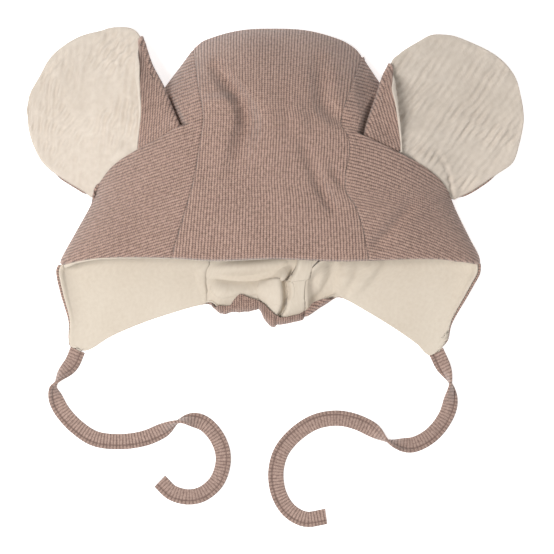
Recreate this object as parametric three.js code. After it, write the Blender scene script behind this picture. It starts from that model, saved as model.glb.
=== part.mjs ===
import * as THREE from 'three';

// A baby's tie-on hat with two round ears, lying on its back with the mouth towards -Y.
// Millimetres, +Z up. The origin is on the surface it lies on, under the back of the middle strip.
// The hat is one soft bag: an upper sheet from the forehead edge to the crown, and a lower sheet
// from the crown to the nape and the ear flaps. Three panels are sewn into it, each of outer rib
// cloth and a jersey lining. Left is -X and right is +X.

// Driving sizes of the hat as it lies
const BRIM_WIDTH = 230;
const FRONT_LENGTH = 128.7;
const FLAP_DROP = 48.4;
const REST_OFFSET = 50.6;
const LOFT = 50;
const FOLD_HEIGHT = 8;
const FOLD_ROUNDING = 12;
const FLAP_TIP_CURL = 1;
const FLAP_CURL_END = 0.9;

// Cloth
const OUTER_CLOTH = 1.2;
const LINING_CLOTH = 1;
const MUSLIN_CLOTH = 1;
const EAR_BACK_CLOTH = 1;
const PIECE_GAP = 0.3;
const LINING_GAP = 0.5;
const LINING_INSET = 0.8;

// Nape edge, rolled up by its elastic
const NAPE_ROLL_RADIUS = 4.4;
const NAPE_FLAT = 9;

// Ears
const EAR_LENGTH = 85;
const EAR_RIM_HEIGHT = 3;
const EAR_SEAT_GAP = 0.5;
const EAR_UNDER_GAP = 0.9;
const EAR_TOP_BELOW_LIP = 0.2;
const PLEAT_CLEARANCE = 0.2;
const EAR_FOLD_LOOSENESS = 1.05;
const EAR_FOLD_OPENING = 0.4;
const UNDER_EAR_RELEASE = 2;
const SLIT_LIP = 0.8;
const LINING_SLACK = 1.2;
const LINING_SLACK_COLUMNS = 3;

// Ties
const TIE_WIDTH = 8.3;
const TIE_THICKNESS = 2;
const TIE_EDGE = 0.6;
const TIE_START_GAP = 0.1;
const TIE_STEPS = 42;

const HALF_BRIM = BRIM_WIDTH / 2;
const FOREHEAD_Y = -REST_OFFSET;
const EAR_HALF = PIECE_GAP / 2 + Math.max(MUSLIN_CLOTH, EAR_BACK_CLOTH);
const PLEAT_RADIUS = EAR_HALF + PLEAT_CLEARANCE;
const EAR_FOLD_RADIUS = PLEAT_RADIUS + EAR_FOLD_LOOSENESS;
const LINING_TOP = OUTER_CLOTH + LINING_GAP;

// Steps in which edges are read from their tables
const EDGE_STEPS = 24;

// Cosine between the two edges of a point: above the first they run on, below the second they turn back
const STRAIGHT_COSINE = 0.95;
const RETURN_COSINE = -0.8;

// Outlines as shares: across in half brim widths, along in front lengths above the forehead edge
// and in flap drops below it.
const CROWN = [
  { across: -0.368, along: 0.906 }, { across: -0.311, along: 0.949 }, { across: -0.191, along: 0.987 },
  { across: 0, along: 1 }, { across: 0.191, along: 0.991 }, { across: 0.335, along: 0.957 },
  { across: 0.407, along: 0.915 }, { across: 0.44, along: 0.876 },
];

const FOREHEAD = [
  { across: -1.005, along: -0.009 }, { across: -0.813, along: 0.015 }, { across: -0.469, along: 0.013 },
  { across: -0.263, along: 0.002 }, { across: 0, along: 0.009 }, { across: 0.287, along: 0 },
  { across: 0.469, along: 0.002 }, { across: 0.813, along: 0.009 }, { across: 1.005, along: -0.02 },
];

const LEFT = {
  sign: -1,
  corner: 0.906,
  tie: { across: -0.919, along: -0.997 },
  fold: [
    { along: -0.009, across: -1.005 }, { along: 0.026, across: -0.99 }, { along: 0.128, across: -0.919 },
    { along: 0.265, across: -0.835 }, { along: 0.35, across: -0.809 }, { along: 0.436, across: -0.766 },
    { along: 0.573, across: -0.651 }, { along: 0.744, across: -0.502 }, { along: 0.906, across: -0.368 },
  ],
  frontSeam: [
    { along: 0.009, across: -0.467 }, { along: 0.128, across: -0.43 }, { along: 0.235, across: -0.393 },
    { along: 0.363, across: -0.356 }, { along: 0.513, across: -0.329 }, { along: 0.607, across: -0.315 },
    { along: 0.731, across: -0.338 }, { along: 0.906, across: -0.368 },
  ],
  backSeam: [
    { along: -0.477, across: -0.306 }, { along: 0, across: -0.33 }, { along: 0.179, across: -0.359 },
    { along: 0.436, across: -0.383 }, { along: 0.692, across: -0.388 }, { along: 0.906, across: -0.368 },
  ],
  flapEdge: [
    { along: -0.991, across: -0.923 }, { along: -0.96, across: -0.952 }, { along: -0.874, across: -0.959 },
    { along: -0.677, across: -0.959 }, { along: -0.528, across: -0.975 }, { along: -0.357, across: -0.996 },
    { along: -0.11, across: -1.016 }, { along: -0.009, across: -1.005 },
  ],
};

const RIGHT = {
  sign: 1,
  corner: 0.876,
  tie: { across: 0.793, along: -1.01 },
  fold: [
    { along: -0.02, across: 1.005 }, { along: 0.026, across: 0.997 }, { along: 0.103, across: 0.957 },
    { along: 0.252, across: 0.88 }, { along: 0.35, across: 0.842 }, { along: 0.436, across: 0.785 },
    { along: 0.573, across: 0.679 }, { along: 0.761, across: 0.531 }, { along: 0.876, across: 0.44 },
  ],
  frontSeam: [
    { along: 0.021, across: 0.467 }, { along: 0.132, across: 0.443 }, { along: 0.229, across: 0.407 },
    { along: 0.312, across: 0.354 }, { along: 0.466, across: 0.378 }, { along: 0.53, across: 0.37 },
    { along: 0.588, across: 0.336 }, { along: 0.748, across: 0.39 }, { along: 0.876, across: 0.44 },
  ],
  backSeam: [
    { along: -0.636, across: 0.158 }, { along: 0, across: 0.23 }, { along: 0.179, across: 0.316 },
    { along: 0.436, across: 0.383 }, { along: 0.692, across: 0.421 }, { along: 0.876, across: 0.44 },
  ],
  flapEdge: [
    { along: -0.953, across: 0.829 }, { along: -0.884, across: 0.848 }, { along: -0.722, across: 0.863 },
    { along: -0.617, across: 0.883 }, { along: -0.42, across: 0.932 }, { along: -0.258, across: 0.971 },
    { along: -0.131, across: 1 }, { along: -0.02, across: 1.005 },
  ],
};

// Lower edge from the left flap tip round the nape to the right flap tip. Band is how much of the
// rolled outer cloth shows, in flap drops, and turn is how far the edge rolls, in half turns.
const NAPE = [
  { across: -0.923, along: -0.991, band: 0, turn: 0 },
  { across: -0.871, along: -0.991, band: 0, turn: 0 },
  { across: -0.762, along: -0.836, band: 0, turn: 0 },
  { across: -0.607, along: -0.677, band: 0, turn: 0 },
  { across: -0.43, along: -0.541, band: 0, turn: 0 },
  { across: -0.306, along: -0.477, band: 0, turn: 0 },
  { across: -0.25, along: -0.53, band: 0.04, turn: 0.5 },
  { across: -0.2, along: -0.59, band: 0.12, turn: 0.95 },
  { across: -0.144, along: -0.568, band: 0.2, turn: 1 },
  { across: -0.058, along: -0.534, band: 0.09, turn: 1 },
  { across: 0.005, along: -0.715, band: 0.17, turn: 1 },
  { across: 0.048, along: -0.714, band: 0.09, turn: 1 },
  { across: 0.158, along: -0.643, band: 0.05, turn: 0.85 },
  { across: 0.219, along: -0.566, band: 0.1, turn: 0.95 },
  { across: 0.27, along: -0.48, band: 0.05, turn: 0.7 },
  { across: 0.32, along: -0.425, band: 0.03, turn: 0.38 },
  { across: 0.39, along: -0.44, band: 0, turn: 0 },
  { across: 0.433, along: -0.513, band: 0, turn: 0 },
  { across: 0.58, along: -0.722, band: 0, turn: 0 },
  { across: 0.702, along: -0.919, band: 0, turn: 0 },
  { across: 0.761, along: -1.045, band: 0, turn: 0 },
  { across: 0.829, along: -0.953, band: 0, turn: 0 },
];

// Height of the upper sheet along the middle of the hat, in lofts
const PROFILE = [
  { along: -0.1, height: 0.7 }, { along: 0, height: 0.74 }, { along: 0.25, height: 0.88 },
  { along: 0.5, height: 1 }, { along: 0.75, height: 1 }, { along: 1, height: 0.92 },
];
const FULLNESS = 2.4;
const CROWN_ROUNDING_FROM = 0.55;

// Creases and ridges of the upper sheet: width in brim widths, height in lofts
const FRONT_FOLDS = [
  { from: [-0.273, 0.803], to: [-0.144, 0.739], width: 0.04, height: -0.06 },
  { from: [-0.144, 0.739], to: [-0.115, 0.65], width: 0.045, height: -0.1 },
  { from: [-0.115, 0.65], to: [-0.135, 0.462], width: 0.045, height: -0.11 },
  { from: [-0.311, 0.679], to: [-0.163, 0.65], width: 0.03, height: 0.05 },
  { from: [0.239, 0.799], to: [0.263, 0.671], width: 0.045, height: -0.09 },
  { from: [0.263, 0.671], to: [0.335, 0.594], width: 0.035, height: -0.06 },
  { from: [0.158, 0.585], to: [0.158, 0.462], width: 0.035, height: 0.04 },
  { from: [0.129, 0.462], to: [0.249, 0.218], width: 0.035, height: -0.05 },
  { from: [0.292, 0.423], to: [0.349, 0.338], width: 0.03, height: -0.04 },
  { from: [0.512, 0.077], to: [0.66, 0.231], width: 0.035, height: -0.05 },
];

// Gathers of the lower sheet in the nape
const NAPE_FOLDS = [
  { from: [-0.278, -0.057], to: [-0.072, -0.09], width: 0.035, height: 0.08 },
  { from: [-0.072, -0.09], to: [0.144, -0.045], width: 0.035, height: 0.07 },
  { from: [-0.263, -0.318], to: [-0.12, -0.364], width: 0.035, height: 0.09 },
  { from: [-0.12, -0.364], to: [0.048, -0.33], width: 0.035, height: 0.09 },
  { from: [0.091, -0.159], to: [0.105, -0.568], width: 0.02, height: 0.09 },
  { from: [0.239, -0.09], to: [0.23, -0.43], width: 0.03, height: 0.05 },
  { from: [0.44, -0.034], to: [0.311, -0.34], width: 0.04, height: 0.07 },
  { from: [-0.32, -0.023], to: [-0.301, -0.318], width: 0.02, height: 0.05 },
];

// The slit that the ear is sewn into: how far it bows to the crown, by share of its row
const SLIT = [
  { share: 0, left: 0, right: 0 }, { share: 0.19, left: 0.06, right: 0.032 },
  { share: 0.4, left: 0.073, right: 0.051 }, { share: 0.6, left: 0.088, right: 0.066 },
  { share: 0.8, left: 0.09, right: 0.068 }, { share: 0.92, left: 0.06, right: 0.05 },
  { share: 1, left: 0, right: 0 },
];
const SLIT_START = { left: 0.198, right: 0.17 };

// Rows of the upper sheet from the crown to the forehead, as shares of the panel corner: where each
// row meets the seam and the side fold, how far it bows, and where the same row meets the back seam
const ROWS = [
  { seam: 1, fold: 1, bow: 0, back: 1 },
  { seam: 0.96, fold: 0.93, bow: 0, back: 0.982 },
  { seam: 0.905, fold: 0.83, bow: 0, back: 0.94 },
  { seam: 0.84, fold: 0.72, bow: 0, back: 0.88 },
  { seam: 0.765, fold: 0.61, bow: 0.05, back: 0.79 },
  { seam: 0.695, fold: 0.487, bow: 0.35, back: 0.69 },
  { seam: 0.637, fold: 0.2925, bow: 1, back: 0.58 },
  { seam: 0.54, fold: 0.237, bow: 0.65, back: 0.47 },
  { seam: 0.44, fold: 0.182, bow: 0.45, back: 0.36 },
  { seam: 0.33, fold: 0.127, bow: 0.3, back: 0.26 },
  { seam: 0.22, fold: 0.077, bow: 0.15, back: 0.17 },
  { seam: 0.11, fold: 0.033, bow: 0.05, back: 0.085 },
  { seam: 0, fold: 0, bow: 0, back: 0 },
];
const SLIT_ROW = 6;
const SLIT_COLUMNS = [2, 8];
const FRONT_ROWS = ROWS.length - 1;
const MOUTH_ROWS = 4;
const ROLL_ROWS = 6;
const BACK_ROWS = FRONT_ROWS + MOUTH_ROWS + ROLL_ROWS;
const CENTER_COLUMNS = [0, 0.12, 0.22, 0.31, 0.42, 0.58, 0.74, 0.88, 1];
const FRONT_COLUMNS = [0, 0.06, 0.13, 0.24, 0.38, 0.54, 0.67, 0.79, 0.88, 0.95, 0.985, 1];
const BACK_COLUMNS = [0, 0.035, 0.11, 0.34, 0.66, 0.79, 0.89, 1];

// Ear outlines in the frame of the slit: base in slit lengths from its inner end, rise in ear lengths
const LEFT_EAR = {
  outer: [
    { base: 0.995, rise: 0.012 }, { base: 1.009, rise: 0.079 }, { base: 1.095, rise: 0.27 },
    { base: 1.129, rise: 0.397 }, { base: 1.1, rise: 0.52 }, { base: 1.039, rise: 0.623 },
    { base: 0.949, rise: 0.714 },
  ],
  top: [
    { base: 0.949, rise: 0.714 }, { base: 0.845, rise: 0.787 }, { base: 0.674, rise: 0.838 },
    { base: 0.524, rise: 0.882 }, { base: 0.371, rise: 0.892 }, { base: 0.182, rise: 0.87 },
    { base: 0.009, rise: 0.81 }, { base: -0.113, rise: 0.757 }, { base: -0.177, rise: 0.693 },
    { base: -0.186, rise: 0.64 },
  ],
  fold: [
    { base: 0, rise: 0.01 }, { base: -0.061, rise: 0.163 }, { base: -0.108, rise: 0.275 },
    { base: -0.147, rise: 0.417 }, { base: -0.191, rise: 0.528 }, { base: -0.245, rise: 0.64 },
  ],
  border: [
    { base: 0.424, rise: 0.068 }, { base: 0.325, rise: 0.142 }, { base: 0.196, rise: 0.239 },
    { base: 0.091, rise: 0.344 }, { base: 0.006, rise: 0.435 }, { base: -0.06, rise: 0.507 },
    { base: -0.12, rise: 0.56 },
  ],
};
const RIGHT_EAR = {
  outer: [
    { base: 0.995, rise: 0.012 }, { base: 1.08, rise: 0.145 }, { base: 1.166, rise: 0.307 },
    { base: 1.223, rise: 0.43 }, { base: 1.178, rise: 0.546 }, { base: 1.092, rise: 0.69 },
    { base: 1, rise: 0.774 },
  ],
  top: [
    { base: 1, rise: 0.774 }, { base: 0.828, rise: 0.881 }, { base: 0.663, rise: 0.926 },
    { base: 0.488, rise: 0.931 }, { base: 0.292, rise: 0.906 }, { base: 0.15, rise: 0.878 },
    { base: 0.056, rise: 0.842 }, { base: -0.037, rise: 0.781 }, { base: -0.095, rise: 0.663 },
    { base: -0.14, rise: 0.596 }, { base: -0.133, rise: 0.53 },
  ],
  fold: [
    { base: 0, rise: 0.01 }, { base: -0.06, rise: 0.131 }, { base: -0.115, rise: 0.267 },
    { base: -0.156, rise: 0.349 }, { base: -0.183, rise: 0.445 }, { base: -0.19, rise: 0.53 },
  ],
  border: [
    { base: 0.36, rise: 0.06 }, { base: 0.296, rise: 0.12 }, { base: 0.2, rise: 0.199 },
    { base: 0.091, rise: 0.281 }, { base: -0.004, rise: 0.353 }, { base: -0.05, rise: 0.392 },
    { base: -0.08, rise: 0.45 },
  ],
};
const EAR_COLUMNS = [0, 0.04, 0.1, 0.2, 0.33, 0.48, 0.64, 0.82, 1];
const EAR_ARC_COLUMNS = 4;
const EAR_FOLDED_COLUMNS = 4;
const EAR_ROWS = 9;
const EAR_SLOPE_END = 0.85;
const PLEAT_END = 0.4;
const PLEAT_FADE = 0.22;
const EAR_LIFT_FROM = 0.62;
const EAR_LIFT_TO = 0.86;

// Routes of the ties, in millimetres from the tip of their flap, as they lie in the photo
const LEFT_ROUTE = [
  [0, 0], [-3.4, -7.7], [-9.3, -14.3], [-11.9, -18.2], [-13.3, -20.9], [-12.2, -26.4], [-9.1, -33],
  [-1.6, -41.6], [9.3, -48.8], [23.6, -50.5], [36.8, -48.6], [46.2, -44.6], [55, -39.4], [61, -38.1],
  [69.3, -40], [76.4, -47], [80.3, -56.4], [80, -64.5], [76.4, -72.9], [68.4, -79.2], [60.3, -80.3],
  [52.2, -77.7], [46.2, -71.2],
];
const RIGHT_ROUTE = [
  [0, 0], [2.9, -6.2], [7.8, -17.2], [8.2, -25.9], [5.9, -35.1], [-1.9, -45.7], [-12.3, -51.5],
  [-20.7, -50.7], [-25.7, -48.8], [-35.6, -42], [-45.6, -37.9], [-55.5, -36.6], [-66.7, -38.9],
  [-77.6, -46.1], [-85.1, -55.7], [-87.8, -67.4], [-85.7, -79], [-80, -87.6], [-71.7, -91.9],
  [-61.7, -90.1],
];
// Half turns of each tie by share of its length
const LEFT_TWIST = [
  { share: 0, turns: 0 }, { share: 0.04, turns: 0.02 }, { share: 0.11, turns: 0.5 },
  { share: 0.18, turns: 0.98 }, { share: 0.25, turns: 1 }, { share: 0.48, turns: 1 },
  { share: 0.558, turns: 1.5 }, { share: 0.63, turns: 2 }, { share: 1, turns: 2 },
];
const RIGHT_TWIST = [
  { share: 0, turns: 0 }, { share: 0.03, turns: 0.02 }, { share: 0.095, turns: 0.5 },
  { share: 0.165, turns: 0.98 }, { share: 0.22, turns: 1 }, { share: 0.31, turns: 1.05 },
  { share: 0.381, turns: 1.5 }, { share: 0.45, turns: 1.98 }, { share: 0.52, turns: 2 },
  { share: 1, turns: 2 },
];

const clamp = THREE.MathUtils.clamp;
const lerp = THREE.MathUtils.lerp;
const smooth = THREE.MathUtils.smoothstep;

// Reads a column of a table at a value of its input column, through a smooth curve
function lookUp(table, input, output, at) {
  const last = table.length - 1;
  const value = clamp(at, table[0][input], table[last][input]);
  let i = 0;
  while (i < last - 1 && value > table[i + 1][input]) i += 1;
  const slope = (k) => {
    const a = table[Math.max(k - 1, 0)];
    const b = table[Math.min(k + 1, last)];
    return (b[output] - a[output]) / (b[input] - a[input]);
  };
  const width = table[i + 1][input] - table[i][input];
  const t = (value - table[i][input]) / width;
  const h = t * t * (3 - 2 * t);
  const start = t * (1 - t) * (1 - t) * width * slope(i);
  const end = t * t * (1 - t) * width * slope(i + 1);
  return lerp(table[i][output], table[i + 1][output], h) + start - end;
}

const placeX = (across) => across * HALF_BRIM;
const placeY = (along) => FOREHEAD_Y + along * (along > 0 ? FRONT_LENGTH : FLAP_DROP);
const shareX = (x) => x / HALF_BRIM;
const shareY = (y) => (y - FOREHEAD_Y) / (y > FOREHEAD_Y ? FRONT_LENGTH : FLAP_DROP);
const edgeX = (table, y) => placeX(lookUp(table, 'along', 'across', shareY(y)));
const crownY = (x) => placeY(lookUp(CROWN, 'across', 'along', shareX(x)));

// A rounded bump of one at its middle and none at its width
function hump(distance, width) {
  const t = distance / width;
  return t < 1 ? (1 - t * t) ** 2 : 0;
}

function distanceToSegment(x, y, [ax, ay], [bx, by]) {
  const dx = bx - ax;
  const dy = by - ay;
  const t = clamp(((x - ax) * dx + (y - ay) * dy) / (dx * dx + dy * dy), 0, 1);
  return Math.hypot(x - ax - t * dx, y - ay - t * dy);
}

function foldRelief(folds, x, y) {
  let height = 0;
  for (const fold of folds) {
    const from = [placeX(fold.from[0]), placeY(fold.from[1])];
    const to = [placeX(fold.to[0]), placeY(fold.to[1])];
    const distance = distanceToSegment(x, y, from, to);
    height += fold.height * LOFT * hump(distance, fold.width * BRIM_WIDTH);
  }
  return height;
}

// Upper sheet: a cushion over the outline, with its creases
function upperHeight(x, y) {
  const side = x < 0 ? LEFT : RIGHT;
  const foldTop = placeY(side.corner);
  const slope = (edgeX(side.fold, foldTop) - edgeX(side.fold, foldTop - FOLD_ROUNDING)) / FOLD_ROUNDING;
  const foldEdge = edgeX(side.fold, y) + Math.max(y - foldTop, 0) * slope;
  const across = clamp(x / foldEdge, 0, 1);
  const roundFrom = placeY(CROWN_ROUNDING_FROM);
  const up = clamp((y - roundFrom) / (crownY(x) - roundFrom), 0, 1);
  const rounding = Math.sqrt((1 - across ** FULLNESS) * (1 - up ** FULLNESS));
  const rise = lookUp(PROFILE, 'along', 'height', shareY(y)) * LOFT - FOLD_HEIGHT;
  return FOLD_HEIGHT + (rise + foldRelief(FRONT_FOLDS, x, y)) * rounding;
}

// Outline of the lower sheet from flap tip to flap tip over the crown, with the height of its edge
function lowerOutline() {
  const points = [];
  const addEdge = (side, along, table, height) => {
    points.push({ x: placeX(lookUp(table, 'along', 'across', along)), y: placeY(along), height });
  };
  const flapHeight = (along) => lerp(FOLD_HEIGHT, FLAP_TIP_CURL, smooth(-along, 0, FLAP_CURL_END));
  for (let i = 0; i <= EDGE_STEPS; i += 1) {
    const along = lerp(LEFT.flapEdge[0].along, LEFT.fold[0].along, i / EDGE_STEPS);
    addEdge(LEFT, along, LEFT.flapEdge, flapHeight(along));
  }
  for (let i = 1; i <= EDGE_STEPS; i += 1) {
    addEdge(LEFT, lerp(LEFT.fold[0].along, LEFT.corner, i / EDGE_STEPS), LEFT.fold, FOLD_HEIGHT);
  }
  for (let i = 1; i < EDGE_STEPS; i += 1) {
    const x = placeX(lerp(CROWN[0].across, CROWN[CROWN.length - 1].across, i / EDGE_STEPS));
    points.push({ x, y: crownY(x), height: FOLD_HEIGHT });
  }
  for (let i = 0; i <= EDGE_STEPS; i += 1) {
    addEdge(RIGHT, lerp(RIGHT.corner, RIGHT.fold[0].along, i / EDGE_STEPS), RIGHT.fold, FOLD_HEIGHT);
  }
  for (let i = 1; i <= EDGE_STEPS; i += 1) {
    const along = lerp(RIGHT.fold[0].along, RIGHT.flapEdge[0].along, i / EDGE_STEPS);
    addEdge(RIGHT, along, RIGHT.flapEdge, flapHeight(along));
  }
  return points;
}
const OUTLINE = lowerOutline();

// How a column of cloth rolls at the nape, from the shape of the lower edge at x
function napeRoll(x) {
  const at = (column) => lookUp(NAPE, 'across', column, shareX(x));
  const turn = clamp(at('turn'), 0, 1);
  const angle = turn * Math.PI;
  const reach = NAPE_ROLL_RADIUS * Math.sin(Math.min(angle, Math.PI / 2));
  const back = Math.max(at('band') * FLAP_DROP - NAPE_ROLL_RADIUS, 0) * smooth(turn, 0.8, 1);
  const start = placeY(at('along')) + reach;
  return { angle, back, start, length: NAPE_FLAT + NAPE_ROLL_RADIUS * angle + back };
}

// A point of the lower cloth at a length past the top of the nape rows, rolled up and back
function rollPoint(roll, length) {
  const past = length - NAPE_FLAT;
  if (past <= 0) return { y: roll.start - past, lift: 0 };
  const turned = Math.min(past / NAPE_ROLL_RADIUS, roll.angle);
  const straight = past - turned * NAPE_ROLL_RADIUS;
  const y = roll.start - NAPE_ROLL_RADIUS * Math.sin(turned) - straight * Math.cos(turned);
  return { y, lift: NAPE_ROLL_RADIUS * (1 - Math.cos(turned)) + straight * Math.sin(turned) };
}

// Lower sheet: flat on the surface, rounded up to the side folds, gathered at the nape
function lowerHeight(x, y) {
  let nearest = { distance: Infinity, height: 0 };
  for (let i = 1; i < OUTLINE.length; i += 1) {
    const a = OUTLINE[i - 1];
    const b = OUTLINE[i];
    const distance = distanceToSegment(x, y, [a.x, a.y], [b.x, b.y]);
    if (distance < nearest.distance) nearest = { distance, height: (a.height + b.height) / 2 };
  }
  const inside = clamp(1 - nearest.distance / FOLD_ROUNDING, 0, 1);
  const rounding = nearest.height * (1 - Math.sqrt(1 - inside * inside));
  const fromRoll = y - napeRoll(x).start;
  return rounding + foldRelief(NAPE_FOLDS, x, y) * smooth(fromRoll, NAPE_ROLL_RADIUS, 3 * NAPE_ROLL_RADIUS);
}

// A point in a row of the upper side panel, from the seam at share 0 to the side fold at share 1
function frontPlace(side, row, share) {
  const name = side === LEFT ? 'left' : 'right';
  const seamAlong = row.seam * side.corner;
  const foldAlong = row.fold > 0 ? row.fold * side.corner : side.fold[0].along;
  const seamX = edgeX(side.frontSeam, placeY(seamAlong));
  const x = lerp(seamX, edgeX(side.fold, placeY(foldAlong)), share);
  const bow = row.bow * lookUp(SLIT, 'share', name, share) * FRONT_LENGTH;
  const forehead = row.seam === 0 ? lookUp(FOREHEAD, 'across', 'along', shareX(x)) : 0;
  const y = row.seam === 0 ? placeY(forehead) : placeY(lerp(seamAlong, foldAlong, share)) + bow;
  return { x, y };
}

// The frame of an ear: where it sits in the slit, and the heights of its base
function earSeat(side) {
  const start = side === LEFT ? SLIT_START.left : SLIT_START.right;
  const seat = { fold: side === LEFT ? LEFT_EAR.fold : RIGHT_EAR.fold, samples: [] };
  const place = (base) => frontPlace(side, ROWS[SLIT_ROW], lerp(start, 1, base));
  const inner = place(0);
  const outer = place(1);
  seat.length = Math.hypot(outer.x - inner.x, outer.y - inner.y);
  seat.origin = inner;
  seat.along = { x: (outer.x - inner.x) / seat.length, y: (outer.y - inner.y) / seat.length };
  seat.out = { x: -side.sign * seat.along.y, y: side.sign * seat.along.x };
  for (let i = 0; i <= EDGE_STEPS; i += 1) {
    const spot = place(i / EDGE_STEPS);
    const local = toEar(seat, spot.x, spot.y);
    const pleat = 2 * PLEAT_RADIUS * (1 - smooth(local.base, PLEAT_END, PLEAT_END + PLEAT_FADE));
    const under = EAR_HALF + EAR_TOP_BELOW_LIP + pleat;
    const over = EAR_HALF + EAR_UNDER_GAP;
    const height = upperHeight(spot.x, spot.y) + lerp(-under, over, smooth(local.base, EAR_LIFT_FROM, EAR_LIFT_TO));
    seat.samples.push({ base: local.base, rise: local.rise, height });
  }
  seat.samples.sort((a, b) => a.base - b.base);
  return seat;
}

function toEar(seat, x, y) {
  const dx = x - seat.origin.x;
  const dy = y - seat.origin.y;
  const base = (dx * seat.along.x + dy * seat.along.y) / seat.length;
  return { base, rise: (dx * seat.out.x + dy * seat.out.y) / EAR_LENGTH };
}

function fromEar(seat, base, rise) {
  const x = seat.origin.x + base * seat.length * seat.along.x + rise * EAR_LENGTH * seat.out.x;
  const y = seat.origin.y + base * seat.length * seat.along.y + rise * EAR_LENGTH * seat.out.y;
  return { x, y };
}

// Middle of the ear's cloth: from its base in the slit down to its rim near the surface
function earHeight(seat, x, y) {
  const { base, rise } = toEar(seat, x, y);
  const foot = lookUp(seat.samples, 'base', 'rise', base);
  const height = lookUp(seat.samples, 'base', 'height', base);
  return lerp(height, EAR_RIM_HEIGHT, clamp((rise - foot) / EAR_SLOPE_END, 0, 1));
}

// The panel behind the slit lies under the ear
function underEar(seat, x, y) {
  const { base, rise } = toEar(seat, x, y);
  const foldBase = lookUp(seat.fold, 'rise', 'base', rise);
  const past = Math.max((foldBase - base) * seat.length - 2 * EAR_FOLD_RADIUS, 0);
  return Math.min(upperHeight(x, y), earHeight(seat, x, y) - EAR_HALF - EAR_UNDER_GAP + UNDER_EAR_RELEASE * past);
}

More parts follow.
